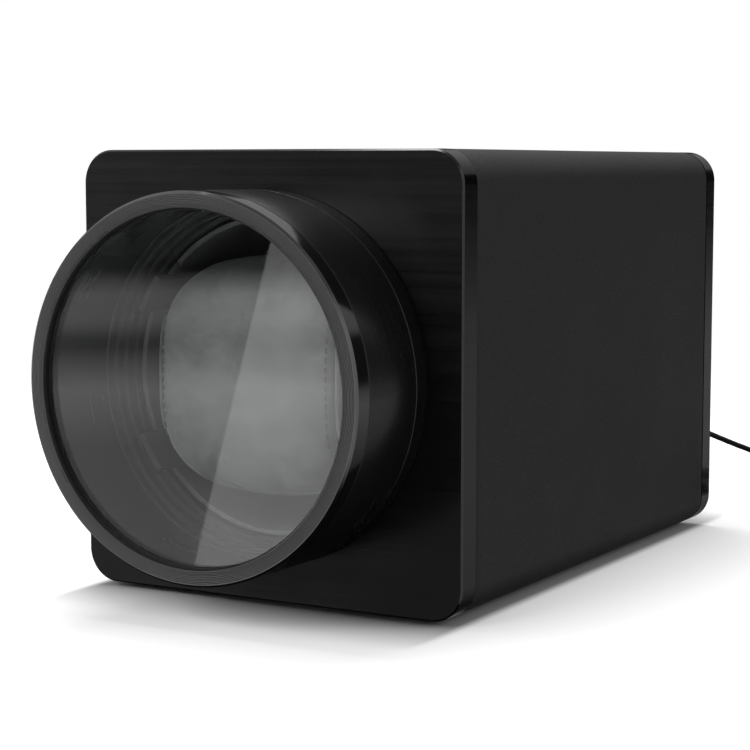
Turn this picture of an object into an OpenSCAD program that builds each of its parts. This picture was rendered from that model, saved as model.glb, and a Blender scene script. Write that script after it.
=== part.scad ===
// Watch winder box: a leatherette-covered housing between two black metal
// plates, with a round viewing barrel whose pull-off glass cover looks onto a
// slowly turning cup that holds a watch pillow.
// Millimetres, +Z up, front towards -Y. The origin is on the floor, under the
// middle of the housing, its barrel and its rear knob.

/* [Housing] */
// Width of the housing
body_w = 122; // [116:1:150]
// Height of the housing without its feet
body_h = 124; // [116:1:150]
// Depth from the front plate's face to the rear plate's face
body_d = 181; // [170:1:230]
// Radius of the housing's long corners
corner_r = 9.3; // [6:0.1:12]
// Thickness of the front plate
front_plate_t = 7.6; // [6:0.1:10]
// Thickness of the rear plate
rear_plate_t = 7.2; // [6:0.1:10]
// Bevel round the outer edges of both plates
plate_bevel = 0.5; // [0.2:0.1:1.5]
// Thickness of the leatherette and its backing
wrap_t = 1; // [0.6:0.1:1.5]
// Thickness of the board walls
board_t = 6; // [4:0.5:8]
// Height of the rubber feet
foot_h = 1.5; // [1:0.1:4]
// Diameter of the rubber feet
foot_d = 14; // [10:1:18]
// Distance from the housing's edges to a foot's centre
foot_inset = 17; // [12:1:24]

/* [Viewing barrel] */
// Distance from the front plate's face to the cover's face
barrel_l = 37.2; // [32:0.1:50]
// Wall of the barrel
barrel_wall = 2.3; // [2:0.1:3]
// Wall of the threaded neck that passes through the front plate
neck_wall = 1; // [0.8:0.1:1.5]
// Height of the base ring with its foot
base_ring_t = 7.2; // [5:0.1:10]
// Shadow gap between the base ring and the front plate
shadow_gap = 0.6; // [0.3:0.1:1.2]
// How far the base ring's foot is set back from its rim
ring_foot_inset = 0.9; // [0.5:0.1:1.2]
// Small bevel on the barrel's and base ring's turned edges
turned_bevel = 0.25; // [0.1:0.05:0.5]
// Thickness of the ring nut behind the front plate
nut_t = 4.5; // [3:0.5:6]
// Width of the ring nut outside the neck
nut_w = 3.3; // [2.5:0.1:4]
// Room between the ring nut and the board walls, which sets the barrel's size
nut_gap = 0.7; // [0.5:0.1:4]
// Spanner notches in the ring nut
nut_notches = 6; // [3:1:12]

/* [Cover] */
// Thickness of the cover ring
cover_t = 6.1; // [5.5:0.1:8]
// Thickness of the lip in front of the glass
cover_lip_t = 1.6; // [1.2:0.1:2.4]
// How far the lip covers the edge of the glass
lip_cover = 0.85; // [0.6:0.05:2]
// Thickness of the glass
glass_t = 2; // [1.5:0.1:2.5]
// Thickness of the rubber gasket in front of the glass
gasket_t = 0.6; // [0.4:0.1:0.8]
// How far the gasket shows inside the lip
gasket_show = 0.45; // [0.2:0.05:0.8]
// Depth of the spigot that enters the barrel
spigot_l = 5; // [4:0.5:8]
// Wall of the spigot
spigot_wall = 1.2; // [1:0.1:1.5]
// Cross-section of the rubber ring that grips in the barrel
grip_ring_d = 0.9; // [0.7:0.1:1]
// Turned grooves in the cover's face
groove_count = 8; // [5:1:12]
// Depth of a turned groove
groove_depth = 0.18; // [0.1:0.02:0.3]
// Bevel on the cover's outer edge
cover_bevel = 0.6; // [0.3:0.1:1]

/* [Baffle] */
// Steps of the liner that narrows from the barrel to the cup
baffle_steps = 4; // [3:1:5]
// Radial width of a step
step_w = 1.2; // [0.9:0.1:1.3]
// Depth of a step
step_depth = 2.9; // [2:0.1:3.5]
// How far the first step stands in front of the front plate's face
baffle_front = 6.1; // [4:0.1:8]
// Thickness of the liner's rear flange
flange_t = 2; // [1.5:0.1:3]
// Screws through the flange
baffle_screws_n = 4; // [3:1:8]

/* [Turning cup] */
// Gap round the turning cup, inside the liner
cup_gap = 0.6; // [0.4:0.1:1.5]
// Wall of the cup
cup_wall = 1.5; // [1.2:0.1:2]
// Depth of the cup's rim behind the front plate's face
cup_rim_y = 4.3; // [3.6:0.1:6]
// Depth from the cup's rim to its floor
cup_depth = 40.7; // [36:0.1:50]
// Thickness of the cup's floor
cup_floor_t = 3; // [2:0.1:5]
// Radius of the hub's flange
hub_r = 16; // [14:0.5:20]
// Thickness of the hub's flange
hub_flange_t = 4; // [3:0.5:6]
// Diameter of the cup's shaft
shaft_d = 8; // [6:0.5:10]

/* [Pillow] */
// Room for a fingertip between the pillow's ends and the cup
finger_gap = 12.7; // [12:0.1:16]
// Room for a bracelet between the pillow's middle and the cup
bracelet_gap = 9.2; // [8.5:0.1:12]
// How far the pillow's top arches above its ends
pillow_drop = 4; // [2:0.5:8]
// Depth of the pillow
pillow_depth = 54; // [46:1:58]
// Radius of the pillow's corners, seen from the front
pillow_corner_r = 20; // [12:1:24]
// Radius of the pillow's front and rear edges
pillow_edge_r = 9; // [5:0.5:12]
// Gap between the cradle's end walls and the cup
cradle_gap = 1; // [0.3:0.1:2]
// Thickness of the cradle's end walls
cradle_wall = 1.8; // [1.4:0.1:2.4]
// Thickness of the cradle's base
cradle_base_t = 3; // [2:0.1:4]
// Half of the angle that an end wall spans
cradle_span = 41; // [36:1:44]
// Half of the angle of the finger notch in an end wall
notch_span = 25; // [18:1:28]
// How far the end walls stand in front of the cup's rim
cradle_proud = 10; // [6:0.5:11]

/* [Drive] */
// Tooth module of the gears
gear_module = 0.8; // [0.7:0.1:1]
// Teeth of the large gear
gear_teeth = 72; // [60:1:80]
// Teeth of the pinion
pinion_teeth = 18; // [14:1:20]
// Face width of the large gear
gear_t = 5; // [4:0.5:8]
// Width of the pinion
pinion_t = 7; // [5:0.5:9]
// Thickness of the front bulkhead
front_bulkhead_t = 4; // [3:0.5:6]
// Thickness of the rear bulkhead
rear_bulkhead_t = 4; // [3:0.5:6]
// Distance between the bulkheads
bulkhead_gap = 20; // [17:0.5:26]
// Diameter of the motor's gearhead
gearhead_d = 25; // [22:0.5:30]
// Length of the motor's gearhead
gearhead_l = 21; // [16:0.5:28]
// Diameter of the motor's can
motor_d = 22; // [18:0.5:24]
// Length of the motor's can
motor_l = 26; // [20:0.5:32]
// Diameter of the motor's output shaft
motor_shaft_d = 4; // [3:0.5:5]
// Diameter of the tie rods
rod_d = 5; // [4:0.5:6]
// Wall of the tubes that space the bulkheads on the rods
tube_wall = 1.5; // [1:0.25:2]

/* [Controls and power] */
// Diameter of the programme knob
knob_d = 20; // [16:0.5:24]
// Height of the programme knob above the rear plate
knob_h = 9; // [7:0.5:12]
// Grip flutes round the knob
knob_flutes = 24; // [12:1:36]
// Diameter of the knob's spindle
spindle_d = 6; // [5:0.5:7]
// Travel of the direction switch to each side
switch_travel = 2.5; // [2:0.1:3]
// Distance from the housing's side to the knob's axis
knob_inset = 35; // [30:0.5:38]
// Distance from the housing's top to the knob's axis
knob_drop = 32; // [28:0.5:38]
// Distance from the housing's side to the power socket's axis
socket_inset = 25; // [23:0.5:28]
// Height of the power socket's axis above the housing's bottom
socket_rise = 26; // [25:0.5:28]
// Room beside the circuit board, on each side
board_side_gap = 12; // [10:0.5:14]
// Room above the circuit board
board_top_gap = 13; // [12:0.5:16]
// Room under the circuit board, for the motor and the power socket
board_low_gap = 31; // [28:0.5:34]
// Thickness of the circuit board
pcb_t = 1.6; // [1:0.2:2]
// Distance from the rear plate to the circuit board
pcb_gap = 9; // [8:0.5:14]
// Diameter of the power socket's plug hole
socket_d = 5.5; // [5:0.1:6]
// Depth of the power socket's plug hole
socket_depth = 9.5; // [8:0.5:12]

/* [Power lead] */
// Diameter of the lead
lead_d = 2; // [1.8:0.1:2.2]
// Diameter of the plug's moulded grip
grip_d = 9; // [8:0.5:10]
// Length of the plug's moulded grip
grip_l = 17; // [14:0.5:17]
// Radius of the coil's turns
coil_r = 11.5; // [11:0.1:12]
// Radius of the coil's bundle of turns
bundle_r = 4.3; // [4:0.1:4.6]

/* [Hidden] */
$fn = 72;
eps = 0.01;

// Clearances
seat = 0.05;          // between parts that are pushed or screwed together
running = 0.04;       // radial, between a shaft and its bush
free = 0.3;           // between a part and one that moves past it

// Where the housing stands
front_y = -(barrel_l + body_d + knob_h) / 2;
plate_y = front_y + barrel_l;
rear_y = plate_y + body_d;
axis_z = foot_h + body_h / 2;
sleeve_y = plate_y + front_plate_t;
sleeve_l = body_d - front_plate_t - rear_plate_t;
inner_rear_y = rear_y - rear_plate_t;
cavity_w = body_w - 2 * (wrap_t + board_t);
cavity_h = body_h - 2 * (wrap_t + board_t);

// Barrel and cover
nut_r = min(cavity_w, cavity_h) / 2 - nut_gap;
neck_r = nut_r - nut_w;
bore_r = neck_r - neck_wall;
barrel_r = bore_r + barrel_wall;
barrel_front_y = front_y + cover_t;
neck_end_y = sleeve_y + nut_t;
spigot_r = bore_r - seat;
glass_r = spigot_r - spigot_wall;
lip_r = glass_r - lip_cover;
glass_front_y = front_y + cover_lip_t + gasket_t;
glass_rear_y = glass_front_y + glass_t;
spigot_end_y = barrel_front_y + spigot_l;
grip_y = barrel_front_y + spigot_l / 2;
groove_pitch = (barrel_r - cover_bevel - lip_r) / (groove_count + 1);
groove_w = groove_pitch * 0.6;

// Liner
liner_r = bore_r - 2 * seat;
first_step_r = liner_r - 0.5;
last_step_r = first_step_r - (baffle_steps - 1) * step_w;
liner_front_y = plate_y - baffle_front;
baffle_screw_r = nut_r - nut_w / 2;
baffle_screw_d = 2;

// Cup, hub and pillow
cup_r = last_step_r - cup_gap;
cup_bore_r = cup_r - cup_wall;
rim_y = plate_y + cup_rim_y;
floor_y = rim_y + cup_depth;
hub_y = floor_y + cup_floor_t;
hub_screw_d = 3;
hub_pcd = hub_r + shaft_d / 2 + 2;
boss_l = 2;
cradle_r = cup_bore_r - cradle_gap;
cradle_y = floor_y - free - cradle_base_t;
cradle_front_y = rim_y - cradle_proud;
pillow_mid_r = cup_bore_r - bracelet_gap;
pillow_half_w = cup_bore_r - finger_gap;
cradle_set_in = 7;
cradle_half_h = pillow_mid_r - cradle_set_in;
pillow_rear_y = cradle_y - free;

// Gear case between the bulkheads
shaft_r = shaft_d / 2;
bush_wall = 2;
bush_flange_w = 2;
bush_flange_t = 1.6;
front_bulk_y = hub_y + hub_flange_t + boss_l + free + bush_flange_t;
gear_case_y = front_bulk_y + front_bulkhead_t;
rear_bulk_y = gear_case_y + bulkhead_gap;
motor_y = rear_bulk_y + rear_bulkhead_t;
gear_y = gear_case_y + 4;
gear_boss_r = shaft_r + 5;
gear_boss_l = 3;
gear_backlash = 0.12;
pressure_angle = 20;
centre_distance = gear_module * (gear_teeth + pinion_teeth) / 2;
motor_z = axis_z - centre_distance;
pinion_y = gear_y - (pinion_t - gear_t) / 2;
pinion_boss_l = 3;
motor_shaft_r = motor_shaft_d / 2;
pilot_d = 9;
pilot_l = 2.5;
motor_screw_d = 2.5;
motor_screw_r = 8.5;
motor_terminal_y = motor_y + gearhead_l + motor_l;
collar_t = 3;
collar_w = 3;

// Tie rods, their tubes and the rear screws
rod_r = rod_d / 2;
rod_inset = 7.5;
rod_x = cavity_w / 2 - rod_inset;
rod_z = cavity_h / 2 - rod_inset;
rod_seat = 4;
screw_d = 3;
screw_head_d = 6;
screw_l = 12;
tube_r = rod_r + seat + tube_wall;

// Controls on the rear plate: x and height above the housing's bottom
knob_x = knob_inset - body_w / 2;
knob_z = foot_h + body_h - knob_drop;
switch_x = 14;
switch_z = knob_z;
slider_w = 4;
slider_h = 4;
slider_out = 2;
slider_depth = 2.7;
switch_wall = 1.2;
switch_ear = 1.5;
switch_cover_t = 2.5;
socket_x = body_w / 2 - socket_inset;
socket_z = foot_h + socket_rise;
socket_flange_r = socket_d / 2 + 4.5;
socket_flange_t = 1.5;
socket_r = socket_d / 2 + 2.5;
socket_pin_r = 1;
pcb_y = inner_rear_y - pcb_gap - pcb_t;
board_w = cavity_w - 2 * board_side_gap;
board_h = cavity_h - board_top_gap - board_low_gap;
board_low = axis_z - cavity_h / 2 + board_low_gap;
pcb_z = board_low + board_h / 2;
pillar_r = 3;
pillar_inset = 5;
pillar_x = board_w / 2 - pillar_inset;
pillar_z = board_h / 2 - pillar_inset;
wire_r = 0.6;
wire_spread = 4;
wire_straight = 5;
terminal_rise = 3;
chip = [16, 2, 8];
chip_at = [-8, 4];
capacitor_r = 4;
capacitor_l = 9;
capacitor_at = [-26, -14];
connector = [9, 6, 9];
connector_at = [22, 10];

// Power lead. The points lie on the lead's own middle line, and their X and Y
// count from the end of the plug's strain relief
plug_y = rear_y + socket_flange_t;
relief_y = plug_y + grip_l;
relief_l = 12.5;
lead_start = [socket_x, relief_y + relief_l, 0];
ROUTE = [
    [0, 0, 27.5], [0, 4.4, 27.5], [0, 12.4, 26.8], [0, 22.4, 25], [0, 30.4, 23.1],
    [0.4, 38.4, 20.9], [1.6, 46.4, 18.4], [3.5, 54.4, 15.7], [6.3, 63.4, 12.6], [10, 71.4, 9],
    [14.5, 79.4, 4.9], [20, 86.9, 1.9]
];
coil_x = 32;
coil_y = 76.9;
coil_z = bundle_r;
TAIL = [
    [47, 73.9, 6.2], [47.3, 70.9, 5.2], [47.5, 67.4, 3.7], [47.8, 63.4, 2.7], [47.9, 59.4, 2.9],
    [47.8, 55.4, 3.9], [47.8, 52.4, 4.2]
];
usb_z = 4.2;
usb_w = 12;
usb_t = 4.5;
usb_grip_l = 20;
usb_relief_l = 6;
usb_shell_l = 12;
lead_sides = 8;

// ---- shapes that repeat ----

// A flat outline in X and Z, thickened along +Y from y
module slab(y, t) {
    translate([0, y + t, 0]) rotate([90, 0, 0]) linear_extrude(t) children();
}

// A round piece on the cup's axis, from [radius, y] points
module turned(profile) {
    translate([0, 0, axis_z]) rotate([-90, 0, 0]) rotate_extrude() polygon(profile);
}

// A plain round bar along +Y
module bar(x, y, z, r, l) {
    translate([x, y, z]) rotate([-90, 0, 0]) cylinder(r = r, h = l);
}

// A tube along +Y
module pipe(x, y, z, r_out, r_in, l) {
    difference() {
        bar(x, y, z, r_out, l);
        bar(x, y - eps, z, r_in, l + 2 * eps);
    }
}

// A rectangle with round corners
module round_rect(w, h, r) {
    square([w - 2 * r, h], center = true);
    square([w, h - 2 * r], center = true);
    for (x = [-1, 1], y = [-1, 1])
        translate([x * (w / 2 - r), y * (h / 2 - r)]) circle(r);
}

// The housing's outline, drawn in by a distance
module outline(inset) {
    translate([0, axis_z])
        round_rect(body_w - 2 * inset, body_h - 2 * inset, max(corner_r - inset, 0.5));
}

// A plate on the housing's outline whose face at the far side of t is bevelled
module bevelled_plate(t) {
    w = body_w / 2;
    h = body_h / 2;
    c = plate_bevel;
    linear_extrude(t - c) round_rect(body_w, body_h, corner_r);
    translate([0, 0, t - c]) {
        for (x = [-1, 1], y = [-1, 1])
            translate([x * (w - corner_r), y * (h - corner_r), 0])
                cylinder(h = c, r1 = corner_r, r2 = corner_r - c);
        rotate([90, 0, 90]) linear_extrude(2 * (w - corner_r), center = true)
            polygon([[-h, 0], [h, 0], [h - c, c], [c - h, c]]);
        rotate([90, 0, 0]) linear_extrude(2 * (h - corner_r), center = true)
            polygon([[-w, 0], [w, 0], [w - c, c], [c - w, c]]);
    }
}

// Copies at the four tie rods
module at_rods() {
    for (x = [-1, 1], z = [-1, 1]) translate([x * rod_x, 0, axis_z + z * rod_z]) children();
}

// Copies at the circuit board's four pillars
module at_pillars() {
    for (x = [-1, 1], z = [-1, 1]) translate([x * pillar_x, 0, pcb_z + z * pillar_z]) children();
}

// Copies turned evenly about the cup's axis
module round_axis(n, start = 0) {
    for (i = [0 : n - 1])
        translate([0, 0, axis_z]) rotate([0, start + 360 * i / n, 0]) children();
}

// ---- involute gears ----

function involute(a) = tan(a) * 180 / PI - a;

// Angle from a tooth's middle to its flank at radius r
function flank_angle(r, teeth) =
    let (pitch_r = gear_module * teeth / 2, base_r = pitch_r * cos(pressure_angle))
    (90 - gear_backlash / 2 / pitch_r * 180 / PI) / teeth + involute(pressure_angle)
        - (r > base_r ? involute(acos(base_r / r)) : 0);

// One tooth's points, from its root up one flank and down the other
function tooth(teeth, middle) =
    let (pitch_r = gear_module * teeth / 2, root_r = pitch_r - 1.25 * gear_module,
         tip_r = pitch_r + gear_module, base_r = pitch_r * cos(pressure_angle),
         start_r = max(root_r, base_r), steps = 3,
         radii = concat(root_r < base_r ? [root_r] : [],
                        [for (i = [0 : steps]) start_r + (tip_r - start_r) * i / steps]))
    concat([for (r = radii) r * [cos(middle - flank_angle(r, teeth)), sin(middle - flank_angle(r, teeth))]],
           [for (i = [len(radii) - 1 : -1 : 0]) let (r = radii[i])
               r * [cos(middle + flank_angle(r, teeth)), sin(middle + flank_angle(r, teeth))]]);

// A spur gear's outline with a tooth's middle at the angle first
module gear_outline(teeth, first) {
    polygon([for (i = [0 : teeth - 1]) each tooth(teeth, first + 360 * i / teeth)]);
}

// ---- housing ----

module front_plate() {
    color([0.06, 0.06, 0.06]) difference() {
        translate([0, plate_y + front_plate_t, axis_z]) rotate([90, 0, 0])
            bevelled_plate(front_plate_t);
        bar(0, plate_y - 1, axis_z, neck_r + seat, front_plate_t + 2);
        at_rods() bar(0, sleeve_y - rod_seat, 0, rod_r, rod_seat + 1);
    }
}

module body_board() {
    color([0.45, 0.36, 0.26]) slab(sleeve_y, sleeve_l) difference() {
        outline(wrap_t);
        translate([0, axis_z])
            round_rect(cavity_w, cavity_h, max(corner_r - wrap_t - board_t, 0.5));
    }
}

module body_wrap() {
    color([0.10, 0.10, 0.10]) slab(sleeve_y, sleeve_l) difference() {
        outline(0);
        outline(wrap_t);
    }
}

module rear_plate() {
    color([0.06, 0.06, 0.06]) difference() {
        translate([0, inner_rear_y, axis_z]) rotate([-90, 0, 0]) bevelled_plate(rear_plate_t);
        at_rods() countersunk(seat);
        bar(knob_x, inner_rear_y - 1, knob_z, spindle_d / 2 + free, rear_plate_t + 2);
        bar(socket_x, inner_rear_y - 1, socket_z, socket_r + seat, rear_plate_t + 2);
        translate([switch_x, inner_rear_y - 1, switch_z]) cube_y(
            slider_w + 2 * switch_travel + 2 * free, rear_plate_t + 2, slider_h + 2 * free);
        pocket(0);
    }
}

// A box centred in X and Z that runs from y = 0 along +Y
module cube_y(w, l, h) {
    translate([-w / 2, 0, -h / 2]) cube([w, l, h]);
}

// The recess behind the rear plate that takes the direction switch's body
module pocket(grow) {
    translate([switch_x, inner_rear_y - eps, switch_z])
        cube_y(switch_body_w() + 2 * seat + grow, switch_seat_depth() + eps, switch_body_h() + 2 * seat + grow);
}

function switch_body_w() = slider_w + 2 * (switch_travel + free + switch_wall + switch_ear);
function switch_body_h() = slider_h + 2 * free + 2 * switch_wall;
function switch_seat_depth() = rear_plate_t - switch_cover_t;

// A countersunk screw's body with its head flush with the rear face
module countersunk(grow) {
    head_l = (screw_head_d - screw_d) / 2;
    bar(0, rear_y - screw_l, 0, screw_d / 2 + grow, screw_l);
    translate([0, rear_y - head_l, 0]) rotate([-90, 0, 0])
        cylinder(h = head_l, r1 = screw_d / 2 + grow, r2 = screw_head_d / 2 + grow);
}

module rear_screws() {
    color([0.12, 0.12, 0.12]) at_rods() difference() {
        countersunk(0);
        bar(0, rear_y - 1.4, 0, 1.15, 2, $fn = 6);
    }
}

module feet() {
    color([0.05, 0.05, 0.05])
        for (x = [-1, 1], y = [plate_y + foot_inset, rear_y - foot_inset])
            translate([x * (body_w / 2 - foot_inset), y, 0]) rotate_extrude()
                polygon([[0, 0], [foot_d / 2 - 0.5, 0], [foot_d / 2, 0.5], [foot_d / 2, foot_h], [0, foot_h]]);
}

// ---- viewing barrel ----

module base_ring() {
    foot_r = barrel_r - ring_foot_inset;
    color([0.08, 0.08, 0.08]) turned([
        [neck_r + seat, plate_y - base_ring_t], [barrel_r - turned_bevel, plate_y - base_ring_t],
        [barrel_r, plate_y - base_ring_t + turned_bevel], [barrel_r, plate_y - shadow_gap],
        [foot_r, plate_y - shadow_gap], [foot_r, plate_y], [neck_r + seat, plate_y]
    ]);
}

module barrel() {
    shoulder_y = plate_y - base_ring_t;
    color([0.07, 0.07, 0.07]) turned([
        [bore_r, barrel_front_y], [barrel_r - turned_bevel, barrel_front_y],
        [barrel_r, barrel_front_y + turned_bevel], [barrel_r, shoulder_y - turned_bevel],
        [barrel_r - turned_bevel, shoulder_y], [neck_r, shoulder_y],
        [neck_r, neck_end_y], [bore_r, neck_end_y]
    ]);
}

module ring_nut() {
    color([0.35, 0.35, 0.36]) difference() {
        turned([[neck_r + seat, sleeve_y], [nut_r, sleeve_y],
                [nut_r, neck_end_y], [neck_r + seat, neck_end_y]]);
        round_axis(nut_notches, 15) translate([nut_r, sleeve_y + nut_t / 2, 0])
            cube([nut_w, nut_t + 1, 4], center = true);
        round_axis(baffle_screws_n, 45)
            bar(baffle_screw_r, neck_end_y - 3, 0, baffle_screw_d / 2, 4, $fn = 24);
    }
}

// The liner's inside, stepping in towards the cup
module baffle() {
    inside = [for (i = [0 : baffle_steps - 1])
        let (r = first_step_r - i * step_w, y = liner_front_y + i * step_depth)
        each [[r + 0.25, y], [r, y + 0.25], [r, y + (i < baffle_steps - 1 ? step_depth : 0.5)]]];
    color([0.05, 0.05, 0.05]) difference() {
        turned(concat(inside, [
            [last_step_r, neck_end_y + flange_t], [nut_r, neck_end_y + flange_t],
            [nut_r, neck_end_y], [liner_r, neck_end_y], [liner_r, liner_front_y]
        ]));
        round_axis(baffle_screws_n, 45)
            bar(baffle_screw_r, neck_end_y - 1, 0, baffle_screw_d / 2, flange_t + 2, $fn = 24);
    }
}

module baffle_screws() {
    color([0.5, 0.5, 0.5]) round_axis(baffle_screws_n, 45) difference() {
        union() {
            bar(baffle_screw_r, neck_end_y - 2.5, 0, baffle_screw_d / 2, flange_t + 2.5, $fn = 24);
            bar(baffle_screw_r, neck_end_y + flange_t, 0, 1.6, 1, $fn = 24);
        }
        bar(baffle_screw_r, neck_end_y + flange_t + 0.5, 0, 0.6, 1, $fn = 6);
    }
}

// ---- pull-off cover ----

module cover_ring() {
    grooves = [for (i = [groove_count : -1 : 1])
        let (r = lip_r + i * groove_pitch)
        each [[r + groove_w / 2, front_y], [r, front_y + groove_depth], [r - groove_w / 2, front_y]]];
    ring_seat = grip_ring_d / 2;
    groove_r = spigot_r - grip_ring_d + seat;
    color([0.10, 0.10, 0.10]) turned(concat(grooves, [
        [lip_r + 0.2, front_y], [lip_r, front_y + 0.2], [lip_r, front_y + cover_lip_t],
        [glass_r, front_y + cover_lip_t], [glass_r, spigot_end_y],
        [spigot_r - 0.3, spigot_end_y], [spigot_r, spigot_end_y - 0.3],
        [spigot_r, grip_y + ring_seat], [groove_r, grip_y + ring_seat],
        [groove_r, grip_y - ring_seat], [spigot_r, grip_y - ring_seat],
        [spigot_r, barrel_front_y], [barrel_r - turned_bevel, barrel_front_y],
        [barrel_r, barrel_front_y - turned_bevel], [barrel_r, front_y + cover_bevel],
        [barrel_r - cover_bevel, front_y]
    ]));
}

module cover_gasket() {
    color([0.03, 0.03, 0.03]) turned([
        [lip_r - gasket_show, front_y + cover_lip_t - 0.8], [lip_r - seat, front_y + cover_lip_t - 0.8],
        [lip_r - seat, front_y + cover_lip_t], [glass_r - seat, front_y + cover_lip_t],
        [glass_r - seat, glass_front_y], [lip_r - gasket_show, glass_front_y]
    ]);
}

module cover_glass() {
    color([0.75, 0.80, 0.82, 0.35]) turned([
        [0, glass_front_y], [glass_r - seat - 0.2, glass_front_y], [glass_r - seat, glass_front_y + 0.2],
        [glass_r - seat, glass_rear_y - 0.2], [glass_r - seat - 0.2, glass_rear_y], [0, glass_rear_y]
    ]);
}

module glass_retainer() {
    color([0.06, 0.06, 0.06]) turned([
        [lip_r - 0.2, glass_rear_y], [glass_r - seat, glass_rear_y],
        [glass_r - seat, glass_rear_y + 1.4], [lip_r + 0.2, glass_rear_y + 1.4]
    ]);
}

// A rubber ring in the spigot's groove that just reaches the barrel's bore
module grip_ring() {
    r = grip_ring_d / 2 - 0.03;
    color([0.03, 0.03, 0.03]) translate([0, grip_y, axis_z]) rotate([-90, 0, 0]) rotate_extrude()
        translate([bore_r - 0.02 - r, 0]) circle(r, $fn = 24);
}

// ---- turning cup ----

module cup() {
    notch_w = 0.8;
    color([0.05, 0.05, 0.05]) difference() {
        turned([
            [cup_bore_r + 0.3, rim_y], [cup_r - 0.3, rim_y], [cup_r, rim_y + 0.3],
            [cup_r, hub_y - 2], [cup_r - 2, hub_y], [0, hub_y], [0, floor_y],
            [cup_bore_r, floor_y], [cup_bore_r, rim_y + 0.3]
        ]);
        round_axis(4, 45) bar(hub_pcd / 2, floor_y - 1, 0, hub_screw_d / 2, cup_floor_t + 2, $fn = 24);
        round_axis(1, -136) translate([cup_r, rim_y, 0])
            cube([2 * cup_wall + 1, 2, notch_w], center = true);
        bar(0, floor_y - 1, axis_z, shaft_r, cup_floor_t + 2);
    }
}

module cup_hub() {
    color([0.62, 0.63, 0.65]) difference() {
        turned([
            [shaft_r, hub_y], [hub_r, hub_y], [hub_r, hub_y + hub_flange_t - 0.5],
            [hub_r - 0.5, hub_y + hub_flange_t], [shaft_r + 3, hub_y + hub_flange_t],
            [shaft_r + 3, hub_y + hub_flange_t + boss_l], [shaft_r, hub_y + hub_flange_t + boss_l]
        ]);
        round_axis(4, 45) bar(hub_pcd / 2, hub_y - 1, 0, hub_screw_d / 2, hub_flange_t + 2, $fn = 24);
    }
}

// Low heads lie in the gap under the cradle's base
module hub_screws() {
    head_t = free + cradle_base_t / 2 - 0.3;
    color([0.5, 0.5, 0.5]) round_axis(4, 45) difference() {
        union() {
            bar(hub_pcd / 2, floor_y, 0, hub_screw_d / 2, cup_floor_t + hub_flange_t, $fn = 24);
            bar(hub_pcd / 2, floor_y - head_t, 0, hub_screw_d - 0.4, head_t, $fn = 24);
        }
        bar(hub_pcd / 2, floor_y - head_t - 1, 0, 1, 1.9, $fn = 6);
    }
}

module cup_shaft() {
    end_y = motor_y + free + collar_t + 1;
    color([0.72, 0.73, 0.75]) turned([
        [0, floor_y], [shaft_r, floor_y], [shaft_r, end_y - 0.5], [shaft_r - 0.5, end_y], [0, end_y]
    ]);
}

module shaft_collar() {
    color([0.3, 0.3, 0.32]) difference() {
        pipe(0, motor_y + free, axis_z, shaft_r + collar_w, shaft_r, collar_t);
        translate([0, motor_y + free + collar_t / 2, axis_z + shaft_r]) cylinder(r = 0.8, h = collar_w + 1, $fn = 24);
    }
}

module large_gear() {
    pitch_r = gear_module * gear_teeth / 2;
    web_r = (gear_boss_r + pitch_r - 3) / 2;
    color([0.86, 0.84, 0.76]) difference() {
        union() {
            slab(gear_y, gear_t) translate([0, axis_z]) gear_outline(gear_teeth, -90);
            bar(0, gear_y, axis_z, gear_boss_r, gear_t + gear_boss_l);
        }
        bar(0, gear_y - 1, axis_z, shaft_r, gear_t + gear_boss_l + 2);
        round_axis(6, 30) bar(web_r, gear_y - 1, 0, (pitch_r - gear_boss_r) / 4, gear_t + 2);
    }
}

// ---- pillow and its cradle ----

// A crowned roll: bulging along its length, oval from its end, soft at its corners
module pillow() {
    w = 2 * pillow_half_w;
    h = 2 * pillow_mid_r;
    arch_r = (pillow_half_w * pillow_half_w + pillow_drop * pillow_drop) / (2 * pillow_drop);
    color([0.20, 0.20, 0.20])
        translate([0, pillow_rear_y - pillow_depth / 2, axis_z]) intersection() {
            rotate([90, 0, 0]) linear_extrude(pillow_depth, center = true) intersection() {
                round_rect(w, h, pillow_corner_r);
                translate([0, pillow_mid_r - arch_r]) circle(arch_r, $fn = 200);
                translate([0, arch_r - pillow_mid_r]) circle(arch_r, $fn = 200);
            }
            rotate([90, 0, 90]) linear_extrude(w, center = true) round_rect(pillow_depth, h, pillow_edge_r);
            linear_extrude(h, center = true) round_rect(w, pillow_depth, pillow_edge_r);
        }
}

// A wedge that covers the angles within half of a direction
module wedge(middle, half, r) {
    slab(cradle_front_y - 1, floor_y - cradle_front_y) translate([0, axis_z])
        polygon(concat([[0, 0]], [for (i = [-4 : 4]) let (a = middle + half * i / 4) r * [cos(a), sin(a)]]));
}

module pillow_cradle() {
    outer = 2 * cradle_r;
    notch_end_y = rim_y + 12;
    color([0.04, 0.04, 0.04]) difference() {
        union() {
            intersection() {
                bar(0, cradle_y, axis_z, cradle_r, cradle_base_t);
                translate([0, cradle_y - 1, axis_z]) cube_y(outer, cradle_base_t + 2, 2 * cradle_half_h);
            }
            for (side = [0, 180]) difference() {
                intersection() {
                    pipe(0, cradle_front_y, axis_z, cradle_r, cradle_r - cradle_wall, cradle_y - cradle_front_y + eps);
                    wedge(side, cradle_span, outer);
                }
                intersection() {
                    bar(0, cradle_front_y - 1, axis_z, outer, notch_end_y - cradle_front_y + 1);
                    wedge(side, notch_span, outer);
                }
            }
        }
        round_axis(4, 45) bar(hub_pcd / 2, cradle_y + cradle_base_t / 2 - 0.3, 0, hub_screw_d, cradle_base_t, $fn = 24);
        bar(0, cradle_y - 1, axis_z, shaft_r, cradle_base_t + 2);
    }
}

// ---- gear case ----

module bulkhead_outline() {
    translate([0, axis_z]) round_rect(cavity_w - 2 * seat, cavity_h - 2 * seat, 3);
}

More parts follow.
